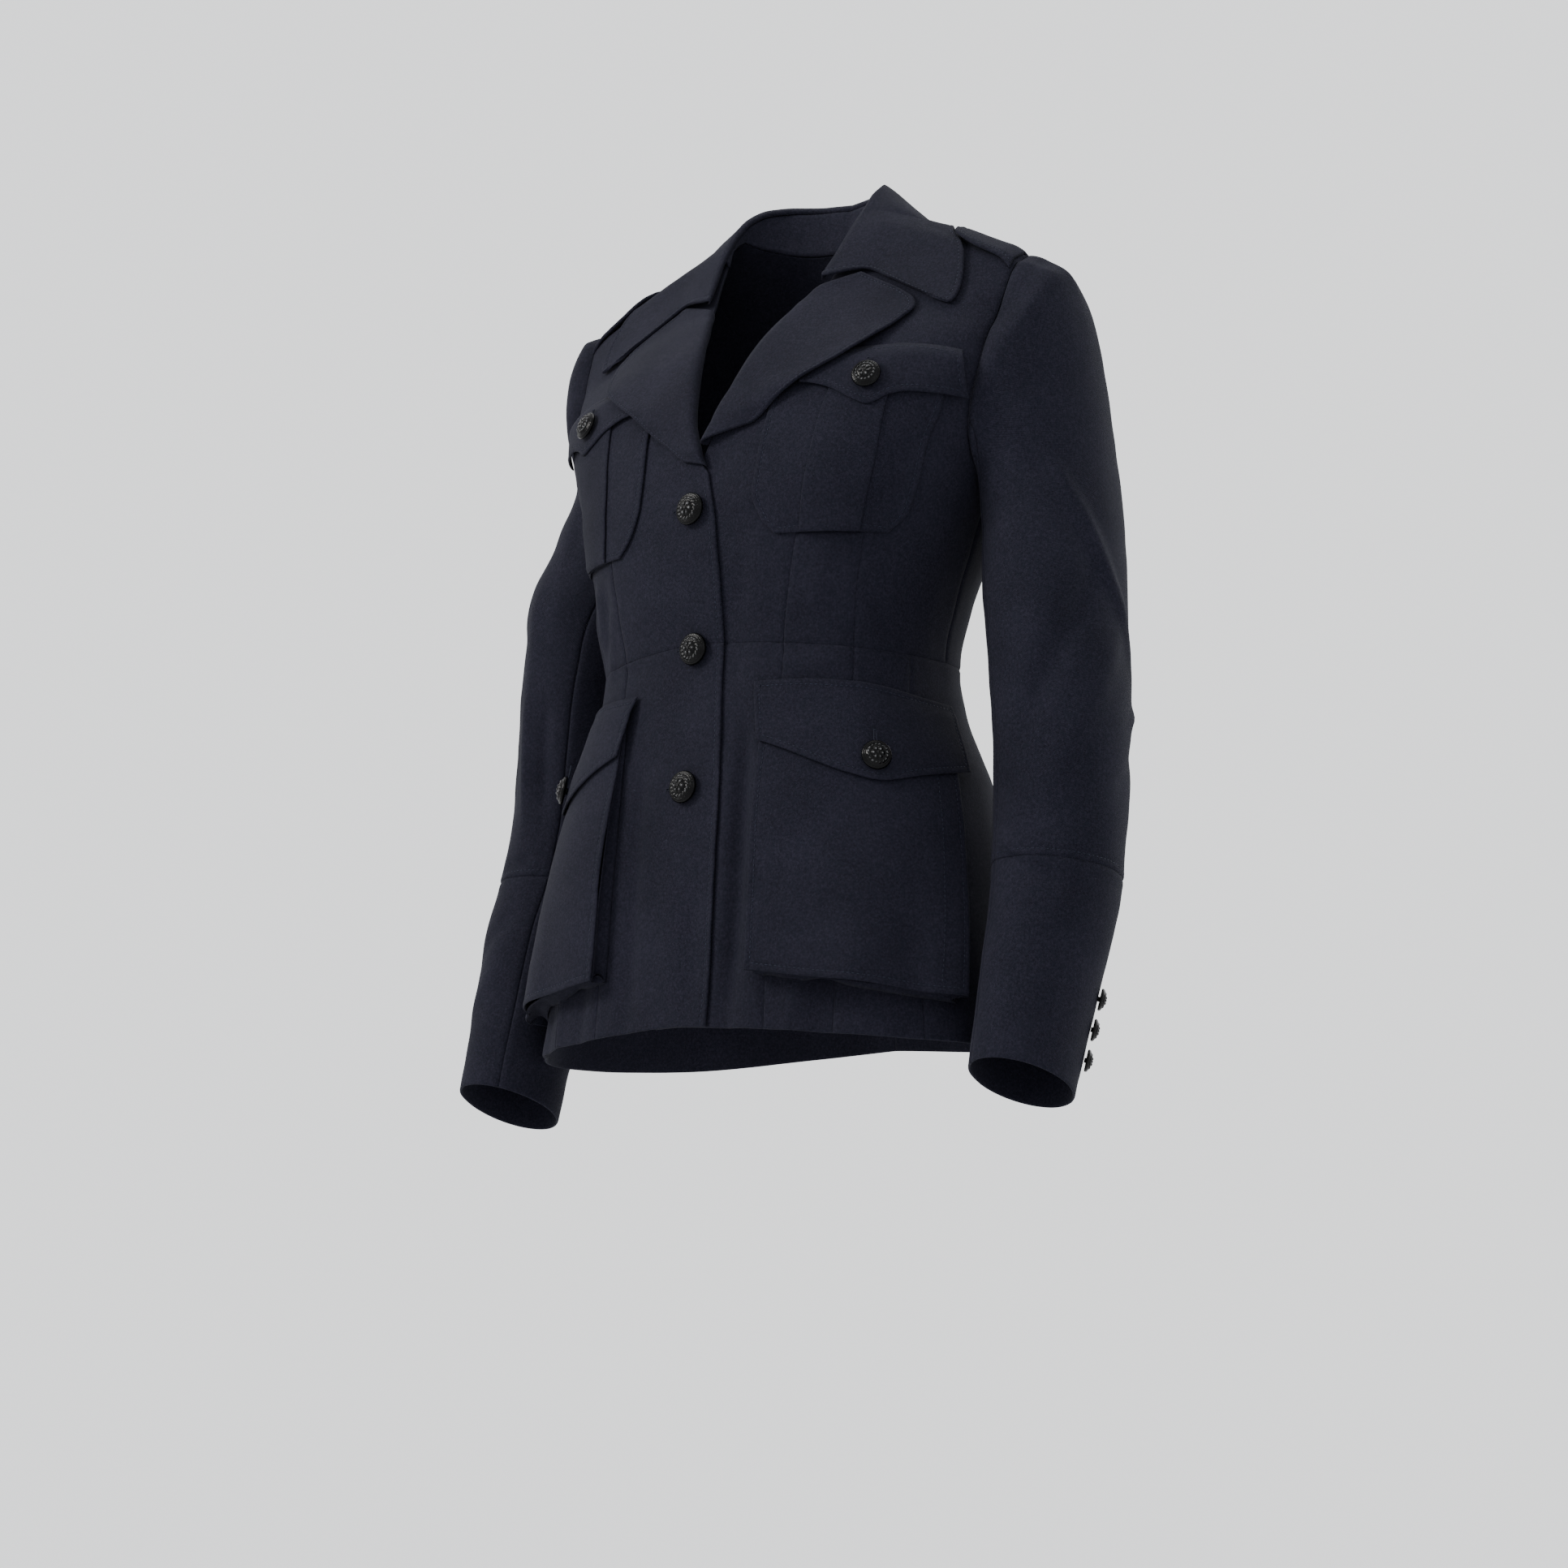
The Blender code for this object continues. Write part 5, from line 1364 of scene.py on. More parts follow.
def make_chest_pockets(cloth):
    """The chest pockets, their box pleats and their pointed flaps."""
    heights = POCKET_MOUTH - POCKET_DEEP * eased(POCKET_LONG, "-f")
    stops = [CHEST_POCKET(name, heights) for name in ("inner", "pleat_inner", "pleat_outer", "outer")]
    shares = [eased(width, ends) for width, ends in zip(POCKET_WIDTHS, ("f-", "--", "-f"))]
    x = np.array([spread(np.array(row), shares) for row in zip(*stops)])
    z = np.repeat(heights[:, None], x.shape[1], axis=1)
    share = eased(PLEAT_WIDE, "ee", 3.0)
    pleat_x = stops[1][:, None] + (stops[2] - stops[1])[:, None] * share
    pleat_z = np.repeat(heights[:, None], len(share), axis=1)
    down = np.array([0, *(FLAP_TURN + (1 - FLAP_TURN) * eased(FLAP_LONG, "-f", 3.0))])
    across = eased(FLAP_WIDE, "ff", 3.2)
    flap_x = (CHEST_FLAP.at[0] + (CHEST_FLAP.at[-1] - CHEST_FLAP.at[0]) * across)[None]
    top, bottom = CHEST_FLAP("top", flap_x), CHEST_FLAP("bottom", flap_x)
    flap_z = top + (bottom - top) * down[:, None]
    flap_lift = POCKET_LIFT + (FLAP_LIFT - POCKET_LIFT) * smooth_step(0, 0.3, down)[:, None]
    for side, name in SIDES:
        front_patch(f"fine_chest_pocket_{name}", x, z, POCKET_LIFT, side, "-fff", cloth)
        front_patch(f"fine_chest_pleat_{name}", pleat_x, pleat_z, PLEAT_LIFT, side, "-see", cloth)
        flap_grid = np.repeat(flap_x, len(down), axis=0)
        front_patch(f"fine_chest_flap_{name}", flap_grid, flap_z, flap_lift, side, "tfff", cloth)


# Soft waves of the bellows pocket's face towards its foot: share across, width and height of each
POCKET_RIPPLES = ((0.5, 0.13, 1), (0.76, 0.1, -0.8))
RIPPLE_HEIGHT = 3.4
# How far its flap stands off the skirt at the seam, and rough sizes of its face and its flap
FLAP_SEAT = 1.4
LOW_POCKET_LONG = 190
LOW_POCKET_WIDE = 142
LOW_FLAP_WIDE = 150
LOW_FLAP_LONG = 64
GUSSET_ROWS = 7


def make_low_pockets(cloth):
    """The bellows pockets: face, gusset and pointed flap."""
    down = eased(LOW_POCKET_LONG, "-f", 4.0)
    share = eased(LOW_POCKET_WIDE, "ff", 4.0)
    girth, level, lift = pocket_place(down[:, None], share[None])
    ripple = sum(high * np.exp(-(((share - at) / wide) ** 2)) for at, wide, high in POCKET_RIPPLES)
    lift = lift + RIPPLE_HEIGHT * ripple[None] * smooth_step(0.35, 1, down)[:, None]
    route_down = np.concatenate([down, np.ones(len(share) - 2), down[::-1]])
    route_share = np.concatenate([np.zeros(len(down)), share[1:-1], np.ones(len(down))])
    edge, edge_level, edge_lift = pocket_place(route_down, route_share)
    inward = np.where(route_share == 0, 1, np.where(route_share == 1, -1, 0))
    at_foot = route_down == 1
    for side, name in SIDES:
        hip_patch(f"fine_low_pocket_{name}", (girth, level, lift), side, "-fff", cloth,
                  POCKET_LINE)
        outside, inside = [], []
        for share_up in np.linspace(0, 1, GUSSET_ROWS):
            top = edge_lift - POCKET_CLOTH - LAY_GAP
            rise = GUSSET_FOOT + (top - GUSSET_FOOT) * share_up
            pull = GUSSET_PULL * math.sin(math.pi * share_up) * smooth_step(0.1, 0.35, route_down)
            for line, inset in ((outside, pull), (inside, pull + POCKET_CLOTH)):
                line.append(at_girth(edge + inward * inset, edge_level + at_foot * inset, rise, side))
        sheet = Sheet(f"fine_low_gusset_{name}", outside, inside, "----", POCKET_CLOTH)
        place_sheet(sheet, cloth)
        across = eased(LOW_FLAP_WIDE, "ff", 3.6)
        top, bottom = LOW_FLAP("top", across), LOW_FLAP("bottom", across)
        girth_top, girth_bottom = LOW_FLAP("girth_top", across), LOW_FLAP("girth_bottom", across)
        flap_down = eased(LOW_FLAP_LONG, "tf", 3.4)[:, None]
        flap_level = top + (bottom - top) * flap_down
        flap_girth = girth_top + (girth_bottom - girth_top) * flap_down
        flap_lift = face_lift(flap_girth, flap_level) + LAY_GAP + POCKET_CLOTH + FLAP_CLEAR
        seated = FLAP_SEAT + LAY_GAP + POCKET_CLOTH
        flap_lift = seated + (flap_lift - seated) * smooth_step(0, 0.28, flap_down)
        hip_patch(f"fine_low_flap_{name}", (flap_girth, flap_level, flap_lift), side, "tfff", cloth)


def make_straps(cloth):
    """The shoulder straps, that follow the shoulder under them."""
    x = STRAP.at[0] + (STRAP.at[-1] - STRAP.at[0]) * eased(56, "fs", 2.6)
    share = eased(38, "ff", 2.6) * 2 - 1
    grid_x = np.repeat(x[:, None], len(share), axis=1)
    y = STRAP_Y + STRAP("half_width", grid_x) * share
    top = shoulder_height(grid_x, np.full_like(y, STRAP_Y))
    z = top + STRAP("lift", grid_x) + STRAP("bend", grid_x) * (shoulder_height(grid_x, y) - top)
    z = z - STRAP_DIVE * smooth_step(183, 193, grid_x)
    points = np.stack([grid_x, y, z], -1)
    normal = grid_normals(points, np.broadcast_to(np.array([0, 0, 1.0]), points.shape))
    for side, name in SIDES:
        faces = [(points + normal * half) * mirror_of(side) for half in (STRAP_CLOTH / 2, -STRAP_CLOTH / 2)]
        sheet = Sheet(f"fine_shoulder_strap_{name}", *faces, "fsff", STRAP_CLOTH, creased=False,
                      group="collar")
        place_sheet(sheet, cloth)


# The face of a button of radius 1, from its middle out: radius and height
BUTTON_FACE = Table("far high", (0, 0.56), (0.25, 0.535), (0.48, 0.47), (0.65, 0.39), (0.8, 0.3),
                    (0.88, 0.26), (0.96, 0.22), (1.0, 0.13))
BUTTON_BACK = ((1.0, 0.1), (0.97, 0.03), (0.9, 0.0), (0.8, 0.0), (0.5, 0.0), (0.22, 0.0), (0.22, -0.08),
               (0.22, -0.16), (0.12, -0.16))
# Points round a button, rings of its face, the share of its radius under its foot, and the relief's height
BUTTON_ROUND = 80
BUTTON_FACE_RINGS = 34
BUTTON_SHANK = 0.16
RELIEF_TOP = 0.085


def bump_at(far, place, width):
    """A round bump of height 1 at a place of the button's radius."""
    return np.exp(-(((far - place) / width) ** 2))


def button_relief(far, angle):
    """A plain generic relief: a rope rim, a bead line, a ring of leaves and a rosette, for radius 1."""
    rope = 0.030 * (0.5 + 0.5 * np.sin(30 * angle + 26 * (far - 0.9))) * bump_at(far, 0.9, 0.05)
    bead = 0.034 * bump_at(far, 0.795, 0.022)
    leaf = np.abs(np.sin(8 * angle + 9 * (far - 0.6))) ** 0.6 * bump_at(far, 0.63, 0.085)
    vein = 0.012 * np.sin(40 * angle - 30 * far) * bump_at(far, 0.63, 0.1)
    petal = (0.5 + 0.5 * np.cos(6 * angle + 0.4)) ** 0.7 * bump_at(far, 0.3, 0.12)
    boss = 0.045 * bump_at(far, 0, 0.1)
    return rope + bead + 0.058 * leaf + vein + 0.06 * petal + boss


def make_button(name, seat, outward, radius, material, relief, sways=True):
    """A domed button with its relief, on a shank above its seat."""
    outward = unit(np.asarray(outward, float))
    aside = (0.0, 0.0, 1.0) if abs(outward[2]) < 0.9 else (0.0, 1.0, 0.0)
    first = unit(np.cross(outward, np.array(aside)))
    second = np.cross(outward, first)
    base = np.asarray(seat, float) + outward * (LAY_GAP + BUTTON_SHANK * radius)
    angle = np.linspace(0, 2 * math.pi, BUTTON_ROUND, endpoint=False)
    spokes = first * np.cos(angle)[:, None] + second * np.sin(angle)[:, None]
    face = np.linspace(0.03, 1, BUTTON_FACE_RINGS)
    profile = [(far, BUTTON_FACE("high", far), True) for far in face]
    profile += [(far, high, False) for far, high in BUTTON_BACK]
    rings, shown = [], [[0.6]]
    for far, high, raised in profile:
        shape = button_relief(far, angle) if raised else 0 * angle
        height = high + relief * shape
        shown.append(shape / RELIEF_TOP)
        rings.append(base + (spokes * far + outward * np.asarray(height)[:, None]) * radius)
    points = np.concatenate([[base + outward * float(BUTTON_FACE("high", 0)) * radius], *rings,
                             [base - outward * BUTTON_SHANK * radius]])
    if sways:
        points = swayed(points)
    turn = np.arange(BUTTON_ROUND)
    after = (turn + 1) % BUTTON_ROUND
    faces = [[0, 1 + a, 1 + b] for a, b in zip(turn, after)]
    for ring in range(len(rings) - 1):
        low, high = 1 + ring * BUTTON_ROUND, 1 + (ring + 1) * BUTTON_ROUND
        faces += [[low + a, high + a, high + b, low + b] for a, b in zip(turn, after)]
    last = 1 + (len(rings) - 1) * BUTTON_ROUND
    faces += [[last + a, len(points) - 1, last + b] for a, b in zip(turn, after)]
    shown.append([0.0])
    piece = new_piece(f"fine_{name}", points, faces)
    # The relief's height, kept for the material, which paints a highlight on the raised parts
    layer = piece.data.attributes.new("relief", "FLOAT", "POINT")
    layer.data.foreach_set("value", np.clip(np.concatenate(shown), 0, 1).astype(np.float32))
    piece.data.materials.append(material)
    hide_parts(name)


# The ring of a worked buttonhole: points round it, and sides of its thread
BUTTONHOLE_POINTS = 150
BUTTONHOLE_SIDES = 6


def make_buttonhole(name, centre, outward, along, half_length, material):
    """A worked buttonhole: a stitched ring round a slit, lying on the cloth."""
    outward = unit(np.asarray(outward, float))
    along = unit(along - outward * (along @ outward))
    cross = np.cross(outward, along)
    count, sides = BUTTONHOLE_POINTS, BUTTONHOLE_SIDES
    turn = np.linspace(0, 2 * math.pi, count, endpoint=False)
    path_x = np.clip(np.cos(turn) * (half_length + 1.0), -half_length, half_length) + 0.8 * np.cos(turn)
    path_y = np.clip(np.sin(turn) * 2.2, -0.9, 0.9)
    # the stitches of the ring swell and thin 52 times round
    thick_here = 0.42 + 0.13 * np.sin(turn * 52)
    points = []
    for k in range(count):
        middle = centre + along * path_x[k] + cross * path_y[k] + outward * 0.22
        way = unit(along * path_x[k] * 0.15 + cross * path_y[k] + along * np.cos(turn[k]) * 0.3)
        for step in range(sides):
            a = 2 * math.pi * step / sides
            points.append(middle + (way * math.cos(a) + outward * math.sin(a)) * thick_here[k])
    faces = []
    for k in range(count):
        n = (k + 1) % count
        for step in range(sides):
            m = (step + 1) % sides
            faces.append([k * sides + step, n * sides + step, n * sides + m, k * sides + m])
    piece = new_piece(name, swayed(np.array(points)), faces)
    shell = bmesh.new()
    shell.from_mesh(piece.data)
    bmesh.ops.recalc_face_normals(shell, faces=shell.faces)
    shell.to_mesh(piece.data)
    shell.free()
    piece.data.materials.append(material)


def settled(points, normal):
    """A seat on the cloth, moved with the creases and unevenness there."""
    points = np.atleast_2d(points)
    lift = sum(fold.lift(points) for fold in FOLDS) + unevenness(points)
    return points[0] + normal * lift[0]


def make_buttons(settings):
    """All the buttons, and the buttonholes of the fronts and the flaps."""
    black, thread = button_material(settings), thread_material(settings)
    relief = settings.relief_height
    sideways, upright = np.array([1.0, 0, 0]), np.array([0, 0, 1.0])
    for number, level in enumerate(FRONT_BUTTON_LEVELS, 1):
        normal = body_normal(level, 0.0)
        seat = settled(body_point(level, 0.0), normal)
        make_button(f"button_front_{number}", seat, normal, FRONT_BUTTON, black, relief)
        make_buttonhole(f"buttonhole_front_{number}", seat - sideways * 6.6, normal, sideways, 10.0, thread)
    hole, hole_angle = armhole_ring(FINE_UPPER)
    for side, name in SIDES:
        mirror = mirror_of(side)
        x, z = CHEST_BUTTON
        level = level_at(x, z)
        turn = turn_at(level, x)
        normal = body_normal(level, turn) * mirror
        seat = settled(lifted(level, turn, FLAP_LIFT, side), normal)
        make_button(f"button_chest_{name}", seat, normal, POCKET_BUTTON, black, relief)
        make_buttonhole(f"buttonhole_chest_{name}", seat + upright * 4.5, normal, upright, 9.0, thread)
        girth, z = LOW_BUTTON
        turn = girth_turn(z, girth)
        normal = body_normal(z, turn) * mirror
        lift = face_lift(girth, z) + LAY_GAP + POCKET_CLOTH + FLAP_CLEAR
        seat = settled(lifted(float(z), turn, lift, side), normal)
        make_button(f"button_low_{name}", seat, normal, POCKET_BUTTON, black, relief)
        make_buttonhole(f"buttonhole_low_{name}", seat + upright * 8.0, normal, upright, 10.0, thread)
        for number, ring in enumerate(CUFF_BUTTON_RINGS, 1):
            angles = np.array([CUFF_BUTTON_ANGLE, CUFF_BUTTON_ANGLE - 4.0])
            seat, before = sleeve_point(ring, angles, hole, hole_angle, side)
            above = sleeve_point(ring - 0.3, angles, hole, hole_angle, side)[0]
            outward = unit(np.cross(seat - before, above - seat))
            outward = outward * np.sign(outward[0])
            make_button(f"button_cuff_{name}_{number}", seat * mirror, outward * mirror, CUFF_BUTTON, black,
                        relief, False)


# A stitch, from end to end: share of its length from the middle, share of its width, and rise in widths
STITCH_SHAPE = ((-0.5, 0.0, -0.3), (-0.32, 1.0, 0.0), (0.0, 1.0, 0.12), (0.32, 1.0, 0.0), (0.5, 0.0, -0.3))
STITCH_SIDES = 4
STITCH_LIFT = 0.06


def make_stitching(settings):
    """One object of stitches for each group, along the lines that the sheets left."""
    thread = thread_material(settings)
    sizes = settings.stitch_length, settings.stitch_gap, settings.thread_width
    length, gap, width = (size / MM for size in sizes)
    for group, lines in STITCH_LINES.items():
        points, faces = [], []
        for line, ways in lines:
            if len(line) < 2:
                continue
            reach = reach_along(line)
            for start in np.arange(gap, reach[-1] - length, length + gap):
                at = [start, start + length]
                a, b = (np.array([np.interp(s, reach, line[:, k]) for k in range(3)]) for s in at)
                way = unit(np.array([np.interp(start, reach, ways[:, k]) for k in range(3)]))
                run = unit(b - a)
                side = np.cross(run, way)
                base = len(points)
                for share, fat, high in STITCH_SHAPE:
                    middle = (a + b) / 2 + run * share * length + way * (STITCH_LIFT + high * width)
                    if fat == 0:
                        points.append(middle)
                        continue
                    for turn in range(STITCH_SIDES):
                        angle = math.pi / 4 + turn * math.pi / 2
                        out = side * math.cos(angle) + way * 0.7 * math.sin(angle)
                        points.append(middle + out * width / 1.4)
                for turn in range(STITCH_SIDES):
                    after = (turn + 1) % STITCH_SIDES
                    faces.append([base, base + 1 + after, base + 1 + turn])
                    for ring in (1, 5):
                        faces.append([base + ring + turn, base + ring + after, base + ring + 4 + after,
                                      base + ring + 4 + turn])
                    faces.append([base + 13, base + 9 + turn, base + 9 + after])
        piece = new_piece(f"stitching_{group}", np.array(points), faces)
        piece.data.materials.append(thread)


class Value:
    """A number that varies over a surface, as the output of a shader node."""

    def __init__(self, graph, socket):
        self.graph, self.socket = graph, socket

    def math(self, operation, *others):
        return self.graph.node("ShaderNodeMath", "Value", {"operation": operation}, self, *others)

    def __add__(self, other):
        return self.math("ADD", other)

    def __radd__(self, other):
        return self.math("ADD", other)

    def __sub__(self, other):
        return self.math("SUBTRACT", other)

    def __rsub__(self, other):
        return self.graph.node("ShaderNodeMath", "Value", {"operation": "SUBTRACT"}, other, self)

    def __mul__(self, other):
        return self.math("MULTIPLY", other)

    def __rmul__(self, other):
        return self.math("MULTIPLY", other)

    def sine(self):
        return self.math("SINE")

    def ramp(self, low, high):
        """From 0 at low to 1 at high, on a smooth curve."""
        return self.graph.node("ShaderNodeMapRange", "Result", {"interpolation_type": "SMOOTHSTEP"}, self,
                               low, high, 0.0, 1.0)


class Graph:
    """The nodes of one material."""

    def __init__(self, name):
        self.material = bpy.data.materials.new(name)
        self.material.use_nodes = True
        self.tree = self.material.node_tree
        self.shader = self.tree.nodes["Principled BSDF"]

    def node(self, kind, output, settings, *inputs, **named):
        """A node of this kind with its settings and inputs, and one of its outputs."""
        node = self.tree.nodes.new(kind)
        for name, value in settings.items():
            setattr(node, name, value)
        for socket, value in zip(node.inputs, inputs):
            self.feed(socket, value)
        for name, value in named.items():
            self.feed(node.inputs[name], value)
        return Value(self, node.outputs[output])

    def feed(self, socket, value):
        """Links a value that varies to a socket, or sets the socket to a plain one."""
        if isinstance(value, Value):
            self.tree.links.new(value.socket, socket)
        else:
            socket.default_value = value

    def noise(self, place, scale, detail=2.0, roughness=0.5):
        """Noise from 0 to 1 at a place, with its scale in lumps a metre."""
        return self.node("ShaderNodeTexNoise", "Fac", {}, Vector=place, Scale=scale, Detail=detail,
                         Roughness=roughness)

    def mix(self, share, first, second):
        """A colour between two, by a share from 0 to 1."""
        node = self.tree.nodes.new("ShaderNodeMix")
        node.data_type = "RGBA"
        for place, value in ((0, share), (6, first), (7, second)):
            self.feed(node.inputs[place], value)
        return Value(self, node.outputs[2])

    def stretched(self, place, scale):
        """A place with its three sides scaled."""
        return self.node("ShaderNodeVectorMath", "Vector", {"operation": "MULTIPLY"}, place, scale)

    def use(self, **sockets):
        """Sets the shader's own sockets, by their names with underscores for spaces."""
        for name, value in sockets.items():
            self.feed(self.shader.inputs[name.replace("_", " ")], value)

    def bump(self, height, strength, distance):
        """A normal from a height, with its strength and the distance that a height of 1 stands for."""
        return self.node("ShaderNodeBump", "Normal", {}, Strength=strength, Distance=distance,
                         Height=height)


def cloth_material(settings):
    """Milled navy wool: a faint twill under a felted surface, with some lint."""
    graph = Graph("navy_wool_cloth")
    plan = graph.node("ShaderNodeUVMap", "UV", {"uv_map": "cloth"})
    place = graph.node("ShaderNodeTexCoord", "Object", {})
    across = graph.node("ShaderNodeSeparateXYZ", "X", {}, plan)
    down = graph.node("ShaderNodeSeparateXYZ", "Y", {}, plan)
    wobble = graph.noise(place, 900.0, 1.0)
    pitch = settings.weave_pitch
    wale = ((across + down) * (2 * math.pi / pitch) + wobble * 5.0).sine()
    yarn = graph.noise(graph.stretched(plan, (1400.0, 500.0, 1.0)), 1.0, 2.0, 0.6)
    fuzz = graph.noise(place, 1500.0, 3.0, 0.7)
    mottle = graph.noise(place, 620.0, 4.0, 0.75)
    patch = graph.noise(place, 16.0, 3.0, 0.55)
    dark, light = (*settings.cloth_colour, 1.0), (*settings.cloth_light, 1.0)
    share = (mottle * 0.8 + yarn * 0.3 + patch * 0.3 + wale * 0.05).ramp(0.46, 0.92)
    colour = graph.mix(share, dark, light)
    hue = graph.noise(place, 340.0, 3.0, 0.6).ramp(0.42, 0.62)
    colour = graph.mix(hue * 0.45, colour, (*settings.cloth_cool, 1.0))
    fleck = graph.noise(graph.stretched(place, (700.0, 700.0, 1100.0)), 1.0, 1.0, 0.4).ramp(0.735, 0.80)
    colour = graph.mix(fleck * 0.30, colour, (*settings.lint_colour, 1.0))
    roughness = 0.86 + (fuzz - 0.5) * 0.16
    height = fuzz * 0.55 + yarn * 0.35 + wale * 0.22 + mottle * 0.4
    relief = graph.bump(height, settings.weave_strength, 0.0003)
    graph.use(Base_Color=colour, Roughness=roughness, Normal=relief, Sheen_Weight=settings.sheen,
              Sheen_Roughness=0.45, Sheen_Tint=(0.85, 0.88, 1.0, 1.0), Specular_IOR_Level=0.05)
    return graph.material


def thread_material(settings):
    """The navy sewing thread."""
    graph = Graph("navy_thread")
    place = graph.node("ShaderNodeTexCoord", "Object", {})
    strand = graph.noise(graph.stretched(place, (2600.0, 2600.0, 1800.0)), 1.0, 2.0)
    light, dark = (*settings.thread_colour, 1.0), (*settings.cloth_colour, 1.0)
    graph.use(Base_Color=graph.mix(strand.ramp(0.3, 0.7), dark, light), Roughness=0.5 + strand * 0.25,
              Normal=graph.bump(strand, 0.5, 0.0002), Specular_IOR_Level=0.1)
    return graph.material


def button_material(settings):
    """Glossy black, with a painted highlight that makes the raised relief paler and smoother."""
    graph = Graph("black_relief_button")
    place = graph.node("ShaderNodeTexCoord", "Object", {})
    cast = graph.noise(place, 900.0, 3.0, 0.6)
    scuff = graph.noise(place, 230.0, 4.0, 0.6)
    raised = graph.node("ShaderNodeAttribute", "Fac", {"attribute_name": "relief"})
    # Painted highlight: the raised relief is painted paler, where light would catch it, broken up by the
    # scuff noise
    painted_highlight = (raised + (scuff - 0.5) * 0.7).ramp(0.40, 1.0)
    colour = graph.mix(painted_highlight, (*settings.button_colour, 1.0), (*settings.button_highlight, 1.0))
    graph.use(Base_Color=colour, Roughness=settings.button_roughness + scuff * 0.1 + (1 - painted_highlight) * 0.1,
              Normal=graph.bump(cast, 0.35, 0.00015), Specular_IOR_Level=0.08)
    return graph.material


def floor_material(settings):
    """A plain pale floor."""
    graph = Graph("pale_floor")
    place = graph.node("ShaderNodeTexCoord", "Object", {})
    grain = graph.noise(place, 3.0, 3.0)
    colour = graph.mix(grain, (*settings.floor_colour, 1.0), (0.84, 0.845, 0.855, 1.0))
    graph.use(Base_Color=colour, Roughness=0.8 + grain * 0.1)
    return graph.material


# The camera: degrees, metres, millimetres of lens, and shares of the picture's side
CAMERA_AZIMUTH = 38.0
CAMERA_ELEVATION = -11.0
CAMERA_ROLL = 0.3
CAMERA_DISTANCE = 2.7
CAMERA_TARGET = (0.0, 0.0, -0.3)
CAMERA_LENS = 85.56
CAMERA_SHIFT = (-22 / 1932, -200 / 1932)
# The floor, in metres
FLOOR_LEVEL = -1.46
FLOOR_HALF = 6.0
# Lights: name, place, size, power, colour
LIGHTS = (
    ("key", (-1.5, -2.2, 1.2), 1.1, 120.0, (1.0, 0.98, 0.95)),
    ("fill", (2.2, -1.9, 0.6), 1.6, 14.0, (0.95, 0.97, 1.0)),
    ("top", (0.2, 0.1, 2.0), 1.6, 30.0, (1.0, 1.0, 1.0)),
    ("back", (0.9, 2.3, 0.8), 1.8, 30.0, (0.97, 0.98, 1.0)),
)
WORLD_COLOUR = (0.86, 0.87, 0.885)
WORLD_STRENGTH = 1.75


def make_stage(settings):
    """The floor, the studio light and the camera at the photograph's viewing angle."""
    mesh = bpy.data.meshes.new("floor")
    half = FLOOR_HALF
    corners = [(-half, -half), (half, -half), (half, half), (-half, half)]
    mesh.from_pydata([(x, y, FLOOR_LEVEL) for x, y in corners], [], [(0, 1, 2, 3)])
    mesh.materials.append(floor_material(settings))
    floor = bpy.data.objects.new("floor", mesh)
    bpy.context.scene.collection.objects.link(floor)
    floor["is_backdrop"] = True
    world = bpy.data.worlds.new("studio")
    bpy.context.scene.world = world
    world.use_nodes = True
    background = world.node_tree.nodes["Background"]
    background.inputs["Color"].default_value = (*WORLD_COLOUR, 1.0)
    background.inputs["Strength"].default_value = WORLD_STRENGTH
    for name, place, size, power, colour in LIGHTS:
        light = bpy.data.lights.new(name, "AREA")
        light.shape, light.size, light.energy, light.color = "DISK", size, power, colour
        lamp = bpy.data.objects.new(name, light)
        lamp.location = place
        lamp.rotation_mode = "QUATERNION"
        lamp.rotation_quaternion = (Vector(place) - Vector(CAMERA_TARGET)).to_track_quat("Z", "Y")
        bpy.context.scene.collection.objects.link(lamp)
    azimuth, elevation, roll = (math.radians(v) for v in (CAMERA_AZIMUTH, CAMERA_ELEVATION, CAMERA_ROLL))
    back = Vector((math.sin(azimuth) * math.cos(elevation), -math.cos(azimuth) * math.cos(elevation),
                   math.sin(elevation)))
    right = Vector((math.cos(azimuth), math.sin(azimuth), 0.0))
    up = back.cross(right)
    right, up = right * math.cos(roll) + up * math.sin(roll), up * math.cos(roll) - right * math.sin(roll)
    lens = bpy.data.cameras.new("camera")
    lens.lens, lens.shift_x, lens.shift_y = CAMERA_LENS, *CAMERA_SHIFT
    camera = bpy.data.objects.new("camera", lens)
    place = Vector(CAMERA_TARGET) + back * CAMERA_DISTANCE
    camera.matrix_world = Matrix([[right[k], up[k], back[k], place[k]] for k in range(3)] + [[0, 0, 0, 1]])
    bpy.context.scene.collection.objects.link(camera)
    bpy.context.scene.camera = camera


def number(name, text, value, low=0.0, high=10.0, unit_name="NONE"):
    """A number that a user can change."""
    return bpy.props.FloatProperty(name=name, description=text, default=value, min=low, max=high,
                                   precision=5, unit=unit_name)


def tint(name, text, value):
    """A colour that a user can change."""
    return bpy.props.FloatVectorProperty(name=name, description=text, default=value, size=3, min=0, max=1,
                                         subtype="COLOR")


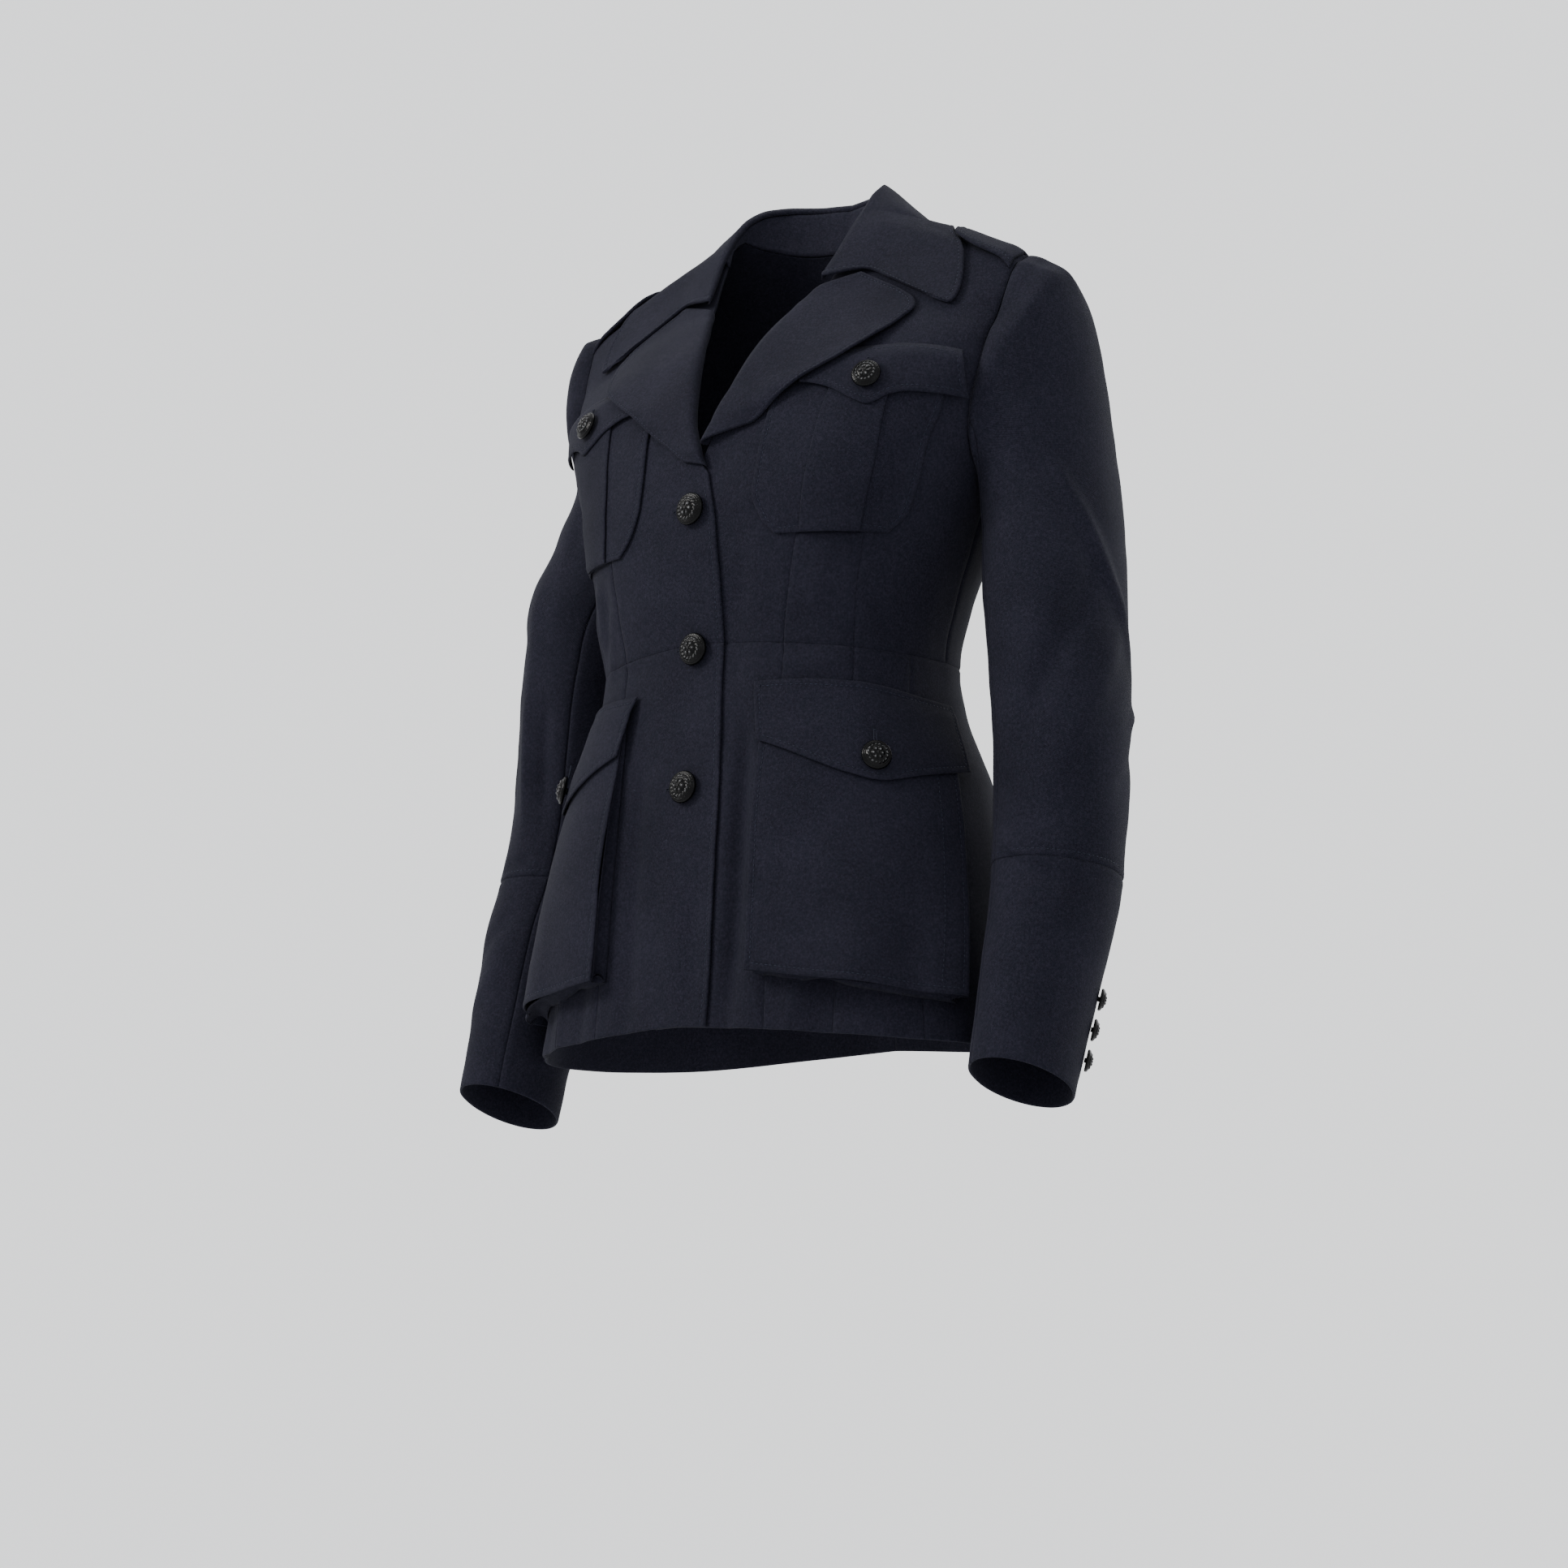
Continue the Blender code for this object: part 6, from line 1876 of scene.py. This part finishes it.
class JacketSettings(bpy.types.PropertyGroup):
    """The sizes and colours of the jacket's finish."""

    cloth_colour: tint("Cloth", "Colour of the cloth's dark yarn", (0.0023, 0.0023, 0.0046))
    cloth_light: tint("Cloth, light", "Colour of the cloth's lighter yarn", (0.0108, 0.0104, 0.0174))
    cloth_cool: tint("Cloth, cool", "Colour of the cooler fibres in the cloth", (0.0036, 0.0046, 0.0080))
    lint_colour: tint("Lint", "Colour of the fine fibres on the cloth", (0.030, 0.034, 0.050))
    thread_colour: tint("Thread", "Colour of the stitching", (0.012, 0.015, 0.027))
    button_colour: tint("Button", "Colour of the buttons", (0.0008, 0.0008, 0.0010))
    # The colour painted on the buttons' raised relief as a highlight
    button_highlight: tint("Button, highlight", "Colour painted on the buttons' raised relief as a highlight", (0.150, 0.152, 0.158))
    floor_colour: tint("Floor", "Colour of the floor", (0.80, 0.805, 0.815))
    sheen: number("Sheen", "Strength of the cloth's soft sheen", 0.012, 0, 1)
    weave_pitch: number("Weave pitch", "Distance between two ridges of twill", 0.0011, 0, 0.01, "LENGTH")
    weave_strength: number("Weave strength", "Strength of the weave's relief", 0.55, 0, 1)
    button_roughness: number("Button roughness", "Roughness of the buttons", 0.06, 0, 1)
    relief_height: number("Button relief", "Height of the buttons' relief, 1 as designed", 1.6, 0, 3)
    stitch_length: number("Stitch length", "Length of one stitch", 0.0026, 0.001, 0.01, "LENGTH")
    stitch_gap: number("Stitch gap", "Gap between two stitches", 0.0009, 0, 0.01, "LENGTH")
    thread_width: number("Thread width", "Width of the thread", 0.00052, 0.0001, 0.003, "LENGTH")


class JACKET_OT_body(bpy.types.Operator):
    """Builds the fronts, skirts and backs"""

    bl_idname = "jacket.body"
    bl_label = "Fronts, skirts and backs"

    def execute(self, context):
        cloth = the_cloth(context)
        make_fronts(cloth)
        make_backs(cloth)
        return {"FINISHED"}


class JACKET_OT_sleeves(bpy.types.Operator):
    """Builds both sleeves"""

    bl_idname = "jacket.sleeves"
    bl_label = "Sleeves"

    def execute(self, context):
        make_sleeves(the_cloth(context))
        return {"FINISHED"}


class JACKET_OT_collar(bpy.types.Operator):
    """Builds the lapels, the collar and the shoulder straps"""

    bl_idname = "jacket.collar"
    bl_label = "Lapels, collar and straps"

    def execute(self, context):
        cloth = the_cloth(context)
        make_lapels(cloth)
        make_collar(cloth)
        make_straps(cloth)
        return {"FINISHED"}


class JACKET_OT_pockets(bpy.types.Operator):
    """Builds the chest pockets and the bellows pockets"""

    bl_idname = "jacket.pockets"
    bl_label = "Pockets"

    def execute(self, context):
        cloth = the_cloth(context)
        make_chest_pockets(cloth)
        make_low_pockets(cloth)
        return {"FINISHED"}


class JACKET_OT_buttons(bpy.types.Operator):
    """Builds the buttons and buttonholes"""

    bl_idname = "jacket.buttons"
    bl_label = "Buttons"

    def execute(self, context):
        the_cloth(context)
        make_buttons(context.scene.jacket)
        return {"FINISHED"}


class JACKET_OT_stitching(bpy.types.Operator):
    """Sews the stitching along the edges, after the cloth is built"""

    bl_idname = "jacket.stitching"
    bl_label = "Stitching"

    def execute(self, context):
        make_stitching(context.scene.jacket)
        return {"FINISHED"}


class JACKET_OT_stage(bpy.types.Operator):
    """Sets up the floor, the lights and the camera"""

    bl_idname = "jacket.stage"
    bl_label = "Stage"

    def execute(self, context):
        make_stage(context.scene.jacket)
        return {"FINISHED"}


def the_cloth(context):
    """The cloth's material, made once, with the creases."""
    if not FOLDS:
        FOLDS.extend(Fold(*row) for row in CREASES)
    return bpy.data.materials.get("navy_wool_cloth") or cloth_material(context.scene.jacket)


class JACKET_PT_panel(bpy.types.Panel):
    """The jacket's settings and steps"""

    bl_idname = "JACKET_PT_panel"
    bl_label = "Jacket"
    bl_space_type = "VIEW_3D"
    bl_region_type = "UI"
    bl_category = "Jacket"

    def draw(self, context):
        for name in JacketSettings.__annotations__:
            self.layout.prop(context.scene.jacket, name)
        for step in STEPS:
            self.layout.operator(step.bl_idname)


STEPS = (JACKET_OT_body, JACKET_OT_sleeves, JACKET_OT_collar, JACKET_OT_pockets, JACKET_OT_buttons,
         JACKET_OT_stitching, JACKET_OT_stage)


def register():
    for kind in (JacketSettings, *STEPS, JACKET_PT_panel):
        bpy.utils.register_class(kind)
    bpy.types.Scene.jacket = bpy.props.PointerProperty(type=JacketSettings)


def unregister():
    del bpy.types.Scene.jacket
    for kind in (JACKET_PT_panel, *reversed(STEPS), JacketSettings):
        bpy.utils.unregister_class(kind)


def main():
    """Builds everything in order."""
    register()
    bpy.ops.jacket.body()
    bpy.ops.jacket.sleeves()
    bpy.ops.jacket.collar()
    bpy.ops.jacket.pockets()
    bpy.ops.jacket.buttons()
    bpy.ops.jacket.stitching()
    bpy.ops.jacket.stage()
    boxes = {"cad": CAD_BOX, "visual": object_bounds()}
    boxes = {name: [list(corner) for corner in box] for name, box in boxes.items()}


if __name__ == "__main__":
    main()
